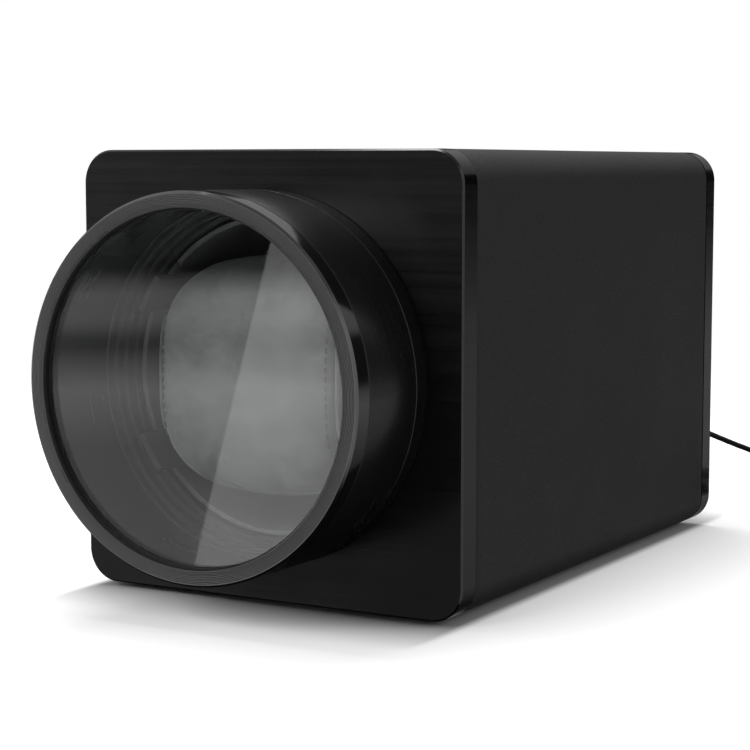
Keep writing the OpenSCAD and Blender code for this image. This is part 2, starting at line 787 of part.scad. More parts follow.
module front_bulkhead() {
    color([0.60, 0.61, 0.62]) difference() {
        slab(front_bulk_y, front_bulkhead_t) bulkhead_outline();
        bar(0, front_bulk_y - 1, axis_z, shaft_r + bush_wall, front_bulkhead_t + 2);
        at_rods() bar(0, front_bulk_y - 1, 0, rod_r + seat, front_bulkhead_t + 2);
    }
}

module rear_bulkhead() {
    color([0.60, 0.61, 0.62]) difference() {
        slab(rear_bulk_y, rear_bulkhead_t) bulkhead_outline();
        bar(0, rear_bulk_y - 1, axis_z, shaft_r + bush_wall, rear_bulkhead_t + 2);
        bar(0, rear_bulk_y - 1, motor_z, pilot_d / 2 + seat, rear_bulkhead_t + 2);
        at_motor_screws() bar(0, rear_bulk_y - 1, 0, motor_screw_d / 2, rear_bulkhead_t + 2, $fn = 24);
        at_rods() bar(0, rear_bulk_y - 1, 0, rod_r + seat, rear_bulkhead_t + 2);
    }
}

// A flanged bush whose flange lies in front of its bulkhead at y
module bush(y, t) {
    r = shaft_r + bush_wall;
    color([0.66, 0.48, 0.26]) turned([
        [shaft_r + running, y - bush_flange_t], [r + bush_flange_w, y - bush_flange_t],
        [r + bush_flange_w, y], [r, y], [r, y + t], [shaft_r + running, y + t]
    ]);
}

module front_bush() { bush(front_bulk_y, front_bulkhead_t); }

module rear_bush() { bush(rear_bulk_y, rear_bulkhead_t); }

module tie_rods() {
    color([0.70, 0.70, 0.72]) at_rods() difference() {
        bar(0, sleeve_y - rod_seat, 0, rod_r, inner_rear_y - sleeve_y + rod_seat);
        bar(0, rear_y - screw_l, 0, screw_d / 2, screw_l);
    }
}

module spacer_tubes() {
    color([0.74, 0.75, 0.76]) at_rods() {
        pipe(0, sleeve_y, 0, tube_r, rod_r + seat, front_bulk_y - sleeve_y);
        pipe(0, gear_case_y, 0, tube_r, rod_r + seat, bulkhead_gap);
        pipe(0, motor_y, 0, tube_r, rod_r + seat, inner_rear_y - motor_y);
    }
}

// ---- motor ----

module at_motor_screws() {
    for (s = [-1, 1]) translate([s * motor_screw_r, 0, motor_z]) children();
}

module motor() {
    can_y = motor_y + gearhead_l;
    color([0.68, 0.68, 0.70]) difference() {
        union() {
            bar(0, motor_y, motor_z, gearhead_d / 2, gearhead_l - 1);
            bar(0, motor_y + gearhead_l - 1, motor_z, gearhead_d / 2 - 0.8, 1);
            bar(0, can_y, motor_z, motor_d / 2, motor_l - 1.5);
            translate([0, can_y + motor_l - 1.5, motor_z]) rotate([-90, 0, 0])
                cylinder(h = 1.5, r1 = motor_d / 2, r2 = motor_d / 2 - 1.5);
            bar(0, motor_y - pilot_l, motor_z, pilot_d / 2, pilot_l);
        }
        bar(0, motor_y - pilot_l - 1, motor_z, motor_shaft_r + running, pilot_l + 7);
        at_motor_screws() bar(0, motor_y - 1, 0, motor_screw_d / 2, 5, $fn = 24);
    }
}

module motor_screws() {
    color([0.5, 0.5, 0.5]) at_motor_screws() difference() {
        union() {
            bar(0, rear_bulk_y, 0, motor_screw_d / 2, rear_bulkhead_t + 3.5, $fn = 24);
            bar(0, rear_bulk_y - 1.5, 0, motor_screw_d - 0.3, 1.5, $fn = 24);
        }
        bar(0, rear_bulk_y - 2.5, 0, 0.8, 2, $fn = 6);
    }
}

module motor_shaft() {
    color([0.72, 0.73, 0.75]) bar(0, pinion_y - 1, motor_z, motor_shaft_r, motor_y + 3 - pinion_y);
}

module pinion() {
    color([0.72, 0.60, 0.30]) difference() {
        union() {
            slab(pinion_y, pinion_t) translate([0, motor_z])
                gear_outline(pinion_teeth, 90 + 180 / pinion_teeth);
            bar(0, pinion_y + pinion_t, motor_z, motor_shaft_r + 2, pinion_boss_l);
        }
        bar(0, pinion_y - 1, motor_z, motor_shaft_r, pinion_t + pinion_boss_l + 2);
    }
}

// Two wires rise from the motor's end to the circuit board
module motor_leads() {
    from_y = motor_terminal_y + seat;
    board_y = pcb_y - seat;
    from_z = motor_z + terminal_rise;
    rise = board_low + 2 * pillar_r - from_z;
    color([0.65, 0.10, 0.08]) for (s = [-1, 1]) {
        from_x = s * wire_spread;
        board_x = s * (wire_spread - 1);
        sweep(concat(
            [[from_x, from_y, from_z]],
            smooth([[from_x, from_y + 1, from_z], [from_x, from_y + wire_straight, from_z + rise * 0.07],
                    [board_x, (from_y + board_y) / 2, from_z + rise * 0.5], [board_x, board_y - wire_straight, from_z + rise * 0.93],
                    [board_x, board_y - 1, from_z + rise]], 2),
            [[board_x, board_y, from_z + rise]]), wire_r);
    }
}

// ---- controls and power inlet ----

module circuit_board() {
    color([0.05, 0.30, 0.16]) difference() {
        union() {
            slab(pcb_y, pcb_t) translate([0, pcb_z]) round_rect(board_w, board_h, 2);
            translate([chip_at.x, pcb_y - chip.y, pcb_z + chip_at.y]) cube_y(chip.x, chip.y + eps, chip.z);
            bar(capacitor_at.x, pcb_y - capacitor_l, pcb_z + capacitor_at.y, capacitor_r, capacitor_l + eps);
            translate([connector_at.x, pcb_y - connector.y, pcb_z + connector_at.y])
                cube_y(connector.x, connector.y + eps, connector.z);
        }
        at_pillars() bar(0, pcb_y - 1, 0, screw_d / 2, pcb_t + 2, $fn = 24);
    }
}

module board_pillars() {
    color([0.80, 0.68, 0.36]) at_pillars() {
        bar(0, pcb_y + pcb_t, 0, pillar_r, pcb_gap);
        bar(0, pcb_y - 1, 0, screw_d / 2, pcb_t + 1 + eps, $fn = 24);
        bar(0, pcb_y - 2.2, 0, screw_d - 0.2, 2.2, $fn = 24);
    }
}

// The switch's can fills the room between the board and the plate
module programme_switch() {
    color([0.62, 0.62, 0.64]) difference() {
        translate([knob_x, pcb_y + pcb_t, knob_z]) cube_y(13, pcb_gap - free, 13);
        bar(knob_x, pcb_y + pcb_t + 2, knob_z, spindle_d / 2 + running, pcb_gap);
    }
}

module programme_knob() {
    r = knob_d / 2;
    face_y = rear_y + knob_h;
    flute_r = r * sin(180 / knob_flutes) * 0.7;
    color([0.08, 0.08, 0.08]) difference() {
        union() {
            translate([knob_x, rear_y + free, knob_z]) rotate([-90, 0, 0]) rotate_extrude()
                polygon([[0, 0], [r, 0], [r, 1.2], [r - 0.8, 1.8], [r - 0.8, knob_h - free - 0.8],
                         [r - 1.6, knob_h - free], [0, knob_h - free]]);
            bar(knob_x, pcb_y + pcb_t + 3, knob_z, spindle_d / 2, rear_y + 1 - pcb_y - pcb_t - 3);
        }
        for (i = [0 : knob_flutes - 1]) translate([knob_x, 0, knob_z]) rotate([0, 360 * i / knob_flutes, 0])
            bar(r - 0.8 + flute_r * 0.45, rear_y + free + 1.8, 0, flute_r, knob_h, $fn = 16);
        translate([knob_x, face_y - 0.5, knob_z + r / 2]) cube_y(1, 1, r - 3);
    }
}

module direction_switch() {
    depth = switch_seat_depth() - seat;
    color([0.16, 0.16, 0.17]) difference() {
        translate([switch_x, pcb_y + pcb_t, switch_z])
            cube_y(switch_body_w(), pcb_gap + depth, switch_body_h());
        translate([switch_x, inner_rear_y - slider_depth - free, switch_z])
            cube_y(slider_w + 2 * (switch_travel + free), slider_depth + rear_plate_t, slider_h + 2 * free);
    }
}

module direction_slider() {
    color([0.75, 0.75, 0.75]) translate([switch_x, inner_rear_y - slider_depth, switch_z])
        cube_y(slider_w, rear_plate_t + slider_depth + slider_out, slider_h);
}

module power_socket() {
    end_y = rear_y - socket_depth - 2.5;
    color([0.10, 0.10, 0.10]) translate([socket_x, 0, socket_z]) rotate([-90, 0, 0]) {
        rotate_extrude() polygon([
            [0, end_y], [socket_r, end_y], [socket_r, rear_y], [socket_flange_r, rear_y],
            [socket_flange_r, rear_y + socket_flange_t - 0.4], [socket_flange_r - 0.4, rear_y + socket_flange_t],
            [socket_d / 2, rear_y + socket_flange_t], [socket_d / 2, rear_y + socket_flange_t - socket_depth],
            [socket_pin_r, rear_y + socket_flange_t - socket_depth], [socket_pin_r, rear_y - 1], [0, rear_y - 0.5]
        ]);
    }
}

module socket_nut() {
    nut_t = 2.2;
    color([0.72, 0.72, 0.72]) difference() {
        bar(socket_x, inner_rear_y - nut_t, socket_z, socket_r + 2.6, nut_t, $fn = 6);
        bar(socket_x, inner_rear_y - nut_t - 1, socket_z, socket_r + seat, nut_t + 2);
    }
}

// Two wires from the socket's tags up to the circuit board
module socket_leads() {
    end_y = rear_y - socket_depth - 2.5 - seat;
    board_y = pcb_y + pcb_t + seat;
    board_x = socket_x - 8;
    board_z = board_low + 4.5;
    color([0.10, 0.10, 0.10]) for (s = [-2, 2])
        sweep([[socket_x + s, end_y, socket_z], [socket_x + s, end_y - 0.8, socket_z],
               [socket_x + s - 0.5, end_y - 1.6, socket_z + 1.6],
               [(board_x + socket_x) / 2 + s, (end_y + board_y) / 2, (socket_z + board_z) / 2],
               [board_x + s + 0.5, board_y + 1.6, board_z - 1.6],
               [board_x + s, board_y + 0.8, board_z], [board_x + s, board_y, board_z]], wire_r);
}

// ---- power lead ----

module lead_plug() {
    barrel_len = socket_depth - 1;
    color([0.07, 0.07, 0.07]) translate([socket_x, 0, socket_z]) rotate([-90, 0, 0]) difference() {
        rotate_extrude() polygon([
            [0, plug_y - barrel_len], [socket_d / 2 - 0.1, plug_y - barrel_len], [socket_d / 2 - 0.1, plug_y + seat],
            [grip_d / 2 - 0.4, plug_y + seat], [grip_d / 2, plug_y + 0.5], [grip_d / 2, relief_y - 3],
            [grip_d / 2 - 1.2, relief_y], [0, relief_y]
        ]);
        translate([0, 0, plug_y - barrel_len - 1]) cylinder(r = socket_pin_r + 0.1, h = barrel_len + 0.5, $fn = 24);
    }
}

// Tapered sleeve with grooves that let it bend
module lead_relief() {
    r1 = 2.6;
    r2 = lead_d / 2 + 0.4;
    rings = 5;
    pitch = relief_l / rings;
    function r_at(t) = r1 + (r2 - r1) * t / relief_l;
    profile = [for (i = [0 : rings - 1]) let (t = i * pitch)
        each [[r_at(t), t], [r_at(t + pitch * 0.6), t + pitch * 0.6],
              [r_at(t + pitch * 0.6) - 0.35, t + pitch * 0.6], [r_at(t + pitch) - 0.35, t + pitch]]];
    color([0.07, 0.07, 0.07]) translate([socket_x, relief_y, socket_z]) rotate([-90, 0, 0])
        rotate_extrude() polygon(concat([[0, 0]], profile, [[0, relief_l]]));
}

function unit(v) = v / norm(v);

// A point between p[i] and p[i + 1] on a smooth curve through all points
function spline_at(p, i, t) =
    let (a = p[max(i - 1, 0)], b = p[i], c = p[i + 1], d = p[min(i + 2, len(p) - 1)])
    0.5 * (2 * b + (c - a) * t + (2 * a - 5 * b + 4 * c - d) * t * t + (3 * b - a - 3 * c + d) * t * t * t);

function smooth(p, n) =
    concat([for (i = [0 : len(p) - 2], k = [0 : n - 1]) spline_at(p, i, k / n)], [p[len(p) - 1]]);

// A tube with flat sides swept along points
module sweep(points, r) {
    last = len(points) - 1;
    rings = [for (i = [0 : last])
        let (t = unit(points[min(i + 1, last)] - points[max(i - 1, 0)]),
             side = unit(cross([0, 0, 1], t)), up = cross(t, side))
        [for (k = [0 : lead_sides - 1]) let (a = (k + 0.5) * 360 / lead_sides)
            points[i] + r * (cos(a) * side + sin(a) * up)]];
    n = lead_sides;
    polyhedron(
        points = [for (ring = rings) each ring],
        faces = concat(
            [[for (k = [0 : n - 1]) k]],
            [for (i = [0 : last - 1], k = [0 : n - 1])
                let (a = i * n + k, b = i * n + (k + 1) % n) each [[a, a + n, b + n], [a, b + n, b]]],
            [[for (k = [n - 1 : -1 : 0]) last * n + k]]),
        convexity = 6);
}

module lead() {
    color([0.05, 0.05, 0.05]) translate(lead_start) sweep(smooth(ROUTE, 2), lead_d / 2);
}

module lead_coil() {
    color([0.05, 0.05, 0.05]) translate(lead_start + [coil_x, coil_y, coil_z])
        rotate_extrude() translate([coil_r, 0]) circle(bundle_r);
}

module lead_tie() {
    tie_w = 5;
    tie_t = 0.7;
    hole_r = bundle_r + 0.5;
    tie_r = hole_r + tie_t;
    color([0.15, 0.15, 0.15]) translate(lead_start + [coil_x, coil_y + coil_r, 0]) difference() {
        translate([-tie_w / 2, 0, coil_z]) rotate([0, 90, 0]) difference() {
            cylinder(r = tie_r, h = tie_w);
            translate([0, 0, -1]) cylinder(r = hole_r, h = tie_w + 2);
        }
        translate([-tie_w, -2 * tie_r, -tie_r]) cube([2 * tie_w, 4 * tie_r, tie_r]);
    }
}

module lead_tail() {
    color([0.05, 0.05, 0.05]) translate(lead_start) sweep(smooth(TAIL, 2), lead_d / 2);
}

module usb_grip() {
    tail_end = TAIL[len(TAIL) - 1];
    color([0.07, 0.07, 0.07]) translate(lead_start + [tail_end.x, tail_end.y, usb_z]) rotate([90, 0, 0]) {
        cylinder(r1 = lead_d / 2 + 0.5, r2 = 2.4, h = usb_relief_l);
        translate([0, 0, usb_relief_l]) linear_extrude(usb_grip_l) round_rect(usb_w + 3.6, usb_t + 3.5, 2.2);
    }
}

module usb_shell() {
    wall = 0.4;
    tail_end = TAIL[len(TAIL) - 1];
    color([0.78, 0.78, 0.80])
        translate(lead_start + [tail_end.x, tail_end.y - usb_relief_l - usb_grip_l, usb_z]) rotate([90, 0, 0]) difference() {
            translate([-usb_w / 2, -usb_t / 2, 0]) cube([usb_w, usb_t, usb_shell_l]);
            translate([wall - usb_w / 2, 0, 1]) cube([usb_w - 2 * wall, usb_t / 2 - wall, usb_shell_l]);
        }
}

front_plate();
body_board();
body_wrap();
rear_plate();
rear_screws();
feet();
base_ring();
barrel();
ring_nut();
baffle();
baffle_screws();
cover_ring();
cover_gasket();
cover_glass();
glass_retainer();
grip_ring();
cup();
cup_hub();
hub_screws();
cup_shaft();
shaft_collar();
large_gear();
pillow();
pillow_cradle();
front_bulkhead();
rear_bulkhead();
front_bush();
rear_bush();
tie_rods();
spacer_tubes();
motor();
motor_screws();
motor_shaft();
pinion();
motor_leads();
circuit_board();
board_pillars();
programme_switch();
programme_knob();
direction_switch();
direction_slider();
power_socket();
socket_nut();
socket_leads();
lead_plug();
lead_relief();
lead();
lead_coil();
lead_tie();
lead_tail();
usb_grip();
usb_shell();
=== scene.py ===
"""Studio scene of a single watch winder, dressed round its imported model.

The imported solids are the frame, and their surfaces are given their finishes
here. Forms that solids can't show are built as pieces of their own: the
wrapped leatherette, the stuffed cushion, the lead with its coil and tie, and
the marks on the controls. Everything is in metres, with the glass facing -Y.
"""

import sys
import functools
import logging
import math
from dataclasses import dataclass
from enum import Enum
from typing import Callable, Iterator, Sequence

import bmesh
import bpy
from mathutils import Matrix, Vector, noise


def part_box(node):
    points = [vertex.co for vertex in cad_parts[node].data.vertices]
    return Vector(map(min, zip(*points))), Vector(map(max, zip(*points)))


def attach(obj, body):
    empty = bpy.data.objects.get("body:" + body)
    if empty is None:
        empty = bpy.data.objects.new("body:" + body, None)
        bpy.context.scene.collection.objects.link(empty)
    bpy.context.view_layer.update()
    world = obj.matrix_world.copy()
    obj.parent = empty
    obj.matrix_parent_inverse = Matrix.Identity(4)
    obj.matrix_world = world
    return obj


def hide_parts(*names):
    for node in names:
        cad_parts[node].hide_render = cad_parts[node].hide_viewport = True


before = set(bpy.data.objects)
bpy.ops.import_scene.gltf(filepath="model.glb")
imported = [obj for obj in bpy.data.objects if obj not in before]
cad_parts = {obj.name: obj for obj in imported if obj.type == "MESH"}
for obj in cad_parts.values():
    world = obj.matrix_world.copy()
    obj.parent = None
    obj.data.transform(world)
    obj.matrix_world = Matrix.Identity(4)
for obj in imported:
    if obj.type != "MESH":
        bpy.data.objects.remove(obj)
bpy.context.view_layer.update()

MM = 0.001
BLUR = 0.1 * MM  # where one finish meets the next
LATHE_LINES = 3200.0  # per metre
DEGREES = math.degrees(1.0)
WHITE = (1.0, 1.0, 1.0, 1.0)
ALONG_X = Vector((1.0, 0.0, 0.0))

Pair = tuple[float, float]
Triple = tuple[float, float, float]
Colour = Triple
Socket = bpy.types.NodeSocket

log = logging.getLogger("winder")


# ---- shader graphs ----


class Graph:
    """Adds nodes to one tree and joins them."""

    def __init__(self, tree: bpy.types.NodeTree, shader: str = "") -> None:
        """Keeps the tree that the nodes go into, and the shader of that name."""
        self.tree = tree
        self.shader = tree.nodes.get(shader)

    def feed(self, inputs: dict, node: bpy.types.Node | None = None) -> None:
        """Gives a node its inputs.

        Args:
            inputs: The inputs by name or number, each a socket or a value.
            node: The node, or None for the shader.
        """
        node = node or self.shader
        for name, value in inputs.items():
            if isinstance(value, Socket):
                self.tree.links.new(value, node.inputs[name])
            else:
                node.inputs[name].default_value = value

    def add(self, kind: str, inputs: dict | None = None, **settings: object) -> bpy.types.Node:
        """Adds one node.

        Args:
            kind: The node's type, such as ShaderNodeMath.
            inputs: Its inputs by name or number, each a socket or a value.
            **settings: The node's own properties.

        Returns:
            The new node.
        """
        made = self.tree.nodes.new(kind)
        for name, value in settings.items():
            setattr(made, name, value)
        self.feed(inputs or {}, made)
        return made

    def math(self, operation: str, a: Socket | float, b: Socket | float = 0.0) -> Socket:
        """Adds a Math node.

        Args:
            operation: The operation's name, such as MULTIPLY.
            a: The first value.
            b: The second value.

        Returns:
            The result.
        """
        return self.add("ShaderNodeMath", {0: a, 1: b}, operation=operation).outputs[0]

    def times(self, *values: Socket | float) -> Socket:
        """The product of two or more values."""
        return functools.reduce(functools.partial(self.math, "MULTIPLY"), values)

    def plus(self, *values: Socket | float) -> Socket:
        """The sum of two or more values."""
        return functools.reduce(functools.partial(self.math, "ADD"), values)

    def minus(self, a: Socket | float, b: Socket | float) -> Socket:
        """The first value less the second."""
        return self.math("SUBTRACT", a, b)

    def most(self, a: Socket, b: Socket | float) -> Socket:
        """The larger of two values."""
        return self.math("MAXIMUM", a, b)

    def spread(self, value: Socket, low: float, high: float, to_low: float = 0.0, to_high: float = 1.0) -> Socket:
        """Maps a range of values to another, held at its ends.

        Args:
            value: The value to map.
            low: Where the range starts.
            high: Where the range ends.
            to_low: What the start becomes.
            to_high: What the end becomes.

        Returns:
            The mapped value.
        """
        return self.add(
            "ShaderNodeMapRange",
            {"Value": value, "From Min": low, "From Max": high, "To Min": to_low, "To Max": to_high},
        ).outputs["Result"]

    def fall(self, value: Socket, low: float, high: float) -> Socket:
        """Maps a range of values to a fall from 1 to 0."""
        return self.spread(value, low, high, 1.0, 0.0)

    def blend(self, factor: Socket | float, a: Colour | Socket, b: Colour | Socket) -> Socket:
        """Mixes two colours.

        Args:
            factor: The share of the second colour.
            a: The first colour.
            b: The second colour.

        Returns:
            The mixed colour.
        """
        colours = {i: c if isinstance(c, Socket) else (*c, 1.0) for i, c in ((6, a), (7, b))}
        return self.add("ShaderNodeMix", {0: factor, **colours}, data_type="RGBA").outputs[2]

    def place(self, scale: Colour = (1.0, 1.0, 1.0)) -> Socket:
        """The point on the piece in its own metres, stretched along its axes.

        Args:
            scale: The stretch along X, Y and Z.

        Returns:
            The point as a vector.
        """
        point = self.add("ShaderNodeTexCoord").outputs["Object"]
        return self.add("ShaderNodeVectorMath", {0: point, 1: scale}, operation="MULTIPLY").outputs[0]

    def speckle(self, vector: Socket, scale: float | Socket, detail: float = 2.0, rough: float = 0.5) -> Socket:
        """Adds a noise texture.

        Args:
            vector: The point to read it at.
            scale: How fine it is.
            detail: How many finer layers it holds.
            rough: How strong the finer layers are.

        Returns:
            The noise, from 0 to 1.
        """
        return self.add(
            "ShaderNodeTexNoise", {"Vector": vector, "Scale": scale, "Detail": detail, "Roughness": rough}
        ).outputs["Fac"]

    def parts(self, vector: Socket) -> bpy.types.bpy_prop_collection:
        """The X, Y and Z of a vector."""
        return self.add("ShaderNodeSeparateXYZ", {0: vector}).outputs

    def length(self, vector: Socket) -> Socket:
        """The length of a vector."""
        return self.add("ShaderNodeVectorMath", {0: vector}, operation="LENGTH").outputs["Value"]

    def normal(self) -> bpy.types.bpy_prop_collection:
        """The X, Y and Z of the direction that the surface faces."""
        return self.parts(self.add("ShaderNodeTexCoord").outputs["Normal"])

    def facing(self) -> Socket:
        """How squarely the surface faces the front or the rear."""
        return self.math("ABSOLUTE", self.normal()[1])

    def rays(self) -> bpy.types.bpy_prop_collection:
        """The kinds of ray that look at the surface."""
        return self.add("ShaderNodeLightPath").outputs

    def let_through(self, share: Socket, tint: Colour = (1.0, 1.0, 1.0)) -> None:
        """Lets some of the light pass the surface unbent.

        Args:
            share: The share of the light that passes.
            tint: The colour that it takes on.
        """
        clear = self.add("ShaderNodeBsdfTransparent", {"Color": (*tint, 1.0)})
        both = self.add("ShaderNodeMixShader", {0: share, 1: self.shader.outputs[0], 2: clear.outputs[0]})
        self.feed({"Surface": both.outputs[0]}, self.tree.nodes["Material Output"])


def new_material(name: str) -> tuple[bpy.types.Material, Graph]:
    """Makes a material with a plain shader.

    Args:
        name: The material's name.

    Returns:
        The material and the graph of its nodes.
    """
    made = bpy.data.materials.new(name)
    made.use_nodes = True
    return made, Graph(made.node_tree, "Principled BSDF")


def effect(name: str, inputs: dict[str, float], outputs: Sequence[str]) -> Callable:
    """Makes a function that fills a tree into a cached shader node group.

    Args:
        name: The group's name.
        inputs: The group's inputs with their usual values.
        outputs: The group's outputs.

    Returns:
        A decorator for a function that takes the graph and the group's input
        sockets and returns its output sockets in order.
    """

    def wrap(fill: Callable[[Graph, dict], Sequence[Socket]]) -> Callable[[], bpy.types.NodeTree]:
        """Wraps the function that fills the group."""

        @functools.cache
        def build() -> bpy.types.NodeTree:
            """Builds the group the first time it is asked for."""
            tree = bpy.data.node_groups.new(name, "ShaderNodeTree")
            for label in (*inputs, *outputs):
                way = "INPUT" if label in inputs else "OUTPUT"
                socket = tree.interface.new_socket(name=label, in_out=way, socket_type="NodeSocketFloat")
                socket.default_value = inputs.get(label, 0.0)
            graph = Graph(tree)
            source = graph.add("NodeGroupInput").outputs
            target = graph.add("NodeGroupOutput")
            results = fill(graph, {label: source[label] for label in inputs})
            graph.feed(dict(zip(outputs, results)), target)
            return tree

        return build

    return wrap


def use(graph: Graph, group: Callable[[], bpy.types.NodeTree], **values: float) -> bpy.types.bpy_prop_collection:
    """Places a group in a material.

    Args:
        graph: The material's graph.
        group: The function that builds the group.
        **values: The group's inputs.

    Returns:
        The group's outputs.
    """
    return graph.add("ShaderNodeGroup", values, node_tree=group()).outputs


@effect("Leather grain", {"Scale": 900.0}, ("Height", "Valley"))
def leather_grain(graph: Graph, given: dict) -> Sequence[Socket]:
    """Pebbles of uneven size with fine creases between them.

    Args:
        graph: The group's graph.
        given: The group's inputs.

    Returns:
        The height and a mask of the creases.
    """
    point = graph.place()
    warp = graph.add("ShaderNodeTexNoise", {"Vector": point, "Scale": 260.0, "Detail": 3.0}).outputs["Color"]
    shift = {0: warp, 1: (1.2 * MM, 1.2 * MM, 1.2 * MM), 2: point}
    moved = graph.add("ShaderNodeVectorMath", shift, operation="MULTIPLY_ADD").outputs[0]
    pattern = {"Vector": moved, "Scale": given["Scale"]}
    cells = graph.add("ShaderNodeTexVoronoi", pattern, feature="DISTANCE_TO_EDGE").outputs["Distance"]
    fine = graph.speckle(point, graph.times(given["Scale"], 3.2), 3.0)
    pebble = graph.math("POWER", graph.spread(cells, 0.0, 0.34), 0.6)
    return graph.plus(pebble, graph.times(fine, 0.35)), graph.fall(cells, 0.0, 0.12)


@effect("Brushed lines", {"Fineness": 1.0}, ("Height", "Streak"))
def brushed_lines(graph: Graph, given: dict) -> Sequence[Socket]:
    """Long straight lines along X.

    Args:
        graph: The group's graph.
        given: The group's inputs.

    Returns:
        The height and a mask of broad streaks.
    """
    fine = graph.speckle(graph.place((26.0, 26.0, 5200.0)), given["Fineness"], 2.0, 0.7)
    broad = graph.speckle(graph.place((7.0, 7.0, 520.0)), given["Fineness"], 3.0, 0.6)
    return fine, graph.spread(broad, 0.32, 0.68)


@effect("Turned lines", {"Axis Height": 0.0635, "Fineness": 1.0}, ("Height", "Streak", "Reach"))
def turned_lines(graph: Graph, given: dict) -> Sequence[Socket]:
    """Rings round the cup's axis, as a lathe leaves them.

    Args:
        graph: The group's graph.
        given: The group's inputs.

    Returns:
        The height, a mask of broad rings and the distance from the axis.
    """
    place = graph.parts(graph.place())
    up = graph.minus(place[2], given["Axis Height"])
    reach = graph.math("SQRT", graph.plus(graph.times(place[0], place[0]), graph.times(up, up)))
    scale = graph.times(given["Fineness"], LATHE_LINES)
    on_face = graph.math("GREATER_THAN", graph.facing(), 0.5)
    across = graph.times(reach, scale, on_face)
    rings = graph.add("ShaderNodeCombineXYZ", {0: across, 1: graph.times(place[1], scale)}).outputs[0]
    fine = graph.speckle(rings, 1.0, 2.0, 0.7)
    broad = graph.speckle(rings, 0.12, 2.0, 0.6)
    return fine, graph.spread(broad, 0.3, 0.7), reach


@effect("Handling marks", {"Scale": 45.0}, ("Mask",))
def handling_marks(graph: Graph, given: dict) -> Sequence[Socket]:
    """Soft patches where a surface has been wiped or touched.

    Args:
        graph: The group's graph.
        given: The group's inputs.

    Returns:
        The mask.
    """
    patches = graph.speckle(graph.place(), given["Scale"], 4.0, 0.62)
    return (graph.spread(patches, 0.42, 0.68),)


@effect("Suede nap", {"Scale": 1.0}, ("Height", "Shade"))
def suede_nap(graph: Graph, given: dict) -> Sequence[Socket]:
    """Short fibres with patches that lie to one side or the other.

    Args:
        graph: The group's graph.
        given: The group's inputs.

    Returns:
        The height and the shade of the lying fibres.
    """
    fibre = graph.speckle(graph.place((3400.0, 3400.0, 2600.0)), given["Scale"], 3.0, 0.75)
    tuft = graph.speckle(graph.place((900.0, 900.0, 700.0)), given["Scale"], 3.0, 0.65)
    lay = graph.speckle(graph.place((70.0, 70.0, 110.0)), given["Scale"], 4.0, 0.6)
    height = graph.plus(graph.times(fibre, 0.6), graph.times(tuft, 0.6))
    shade = graph.plus(graph.times(fibre, 0.45), graph.times(lay, 0.55))
    return height, graph.spread(shade, 0.32, 0.68)


@effect("Moulded skin", {"Scale": 1.0}, ("Height", "Flow"))
def moulded_skin(graph: Graph, given: dict) -> Sequence[Socket]:
    """The faint texture of a moulding with slow waves in its gloss.

    Args:
        graph: The group's graph.
        given: The group's inputs.

    Returns:
        The height and the waves.
    """
    fine = graph.speckle(graph.place((2600.0, 2600.0, 2600.0)), given["Scale"], 2.0, 0.6)
    flow = graph.speckle(graph.place((60.0, 40.0, 60.0)), given["Scale"], 2.0, 0.5)
    return fine, graph.spread(flow, 0.35, 0.65)


@effect("Settled dust", {"Amount": 0.5}, ("Mask",))
def settled_dust(graph: Graph, given: dict) -> Sequence[Socket]:
    """Fine dust on what faces up.

    Args:
        graph: The group's graph.
        given: The group's inputs.

    Returns:
        The mask.
    """
    up = graph.spread(graph.normal()[2], 0.4, 1.0)
    specks = graph.spread(graph.speckle(graph.place(), 1900.0, 2.0, 0.7), 0.5, 0.75)
    return (graph.times(up, specks, given["Amount"]),)


# ---- finishes ----


@dataclass(frozen=True)
class Finish:
    """A surface's colour and gloss, before its own texture."""

    name: str
    colour: Colour
    roughness: float
    metallic: float = 0.0
    specular: float = 0.5
    relief: float = 0.2
    depth: float = 0.03 * MM

    def texture(self, graph: Graph) -> Socket | None:
        """Wires what changes over the surface.

        Args:
            graph: The material's graph.

        Returns:
            The height for the bump, or None.
        """
        raise NotImplementedError

    def material(self) -> bpy.types.Material:
        """Builds the material.

        Returns:
            The material.
        """
        made, graph = new_material(self.name)
        made.diffuse_color = (*self.colour, 1.0)
        graph.feed({"Base Color": (*self.colour, 1.0), "Roughness": self.roughness})
        graph.feed({"Metallic": self.metallic, "Specular IOR Level": self.specular})
        height = self.texture(graph)
        if height is not None:
            bump = graph.add("ShaderNodeBump", {"Height": height, "Strength": self.relief, "Distance": self.depth})
            graph.feed({"Normal": bump.outputs["Normal"]})
        return made

    def lighter(self, share: float) -> Colour:
        """The colour, moved towards white by a share."""
        return tuple(c + (1.0 - c) * share for c in self.colour)

    def scaled(self, factor: float) -> Colour:
        """The colour times a factor."""
        return tuple(min(c * factor, 1.0) for c in self.colour)


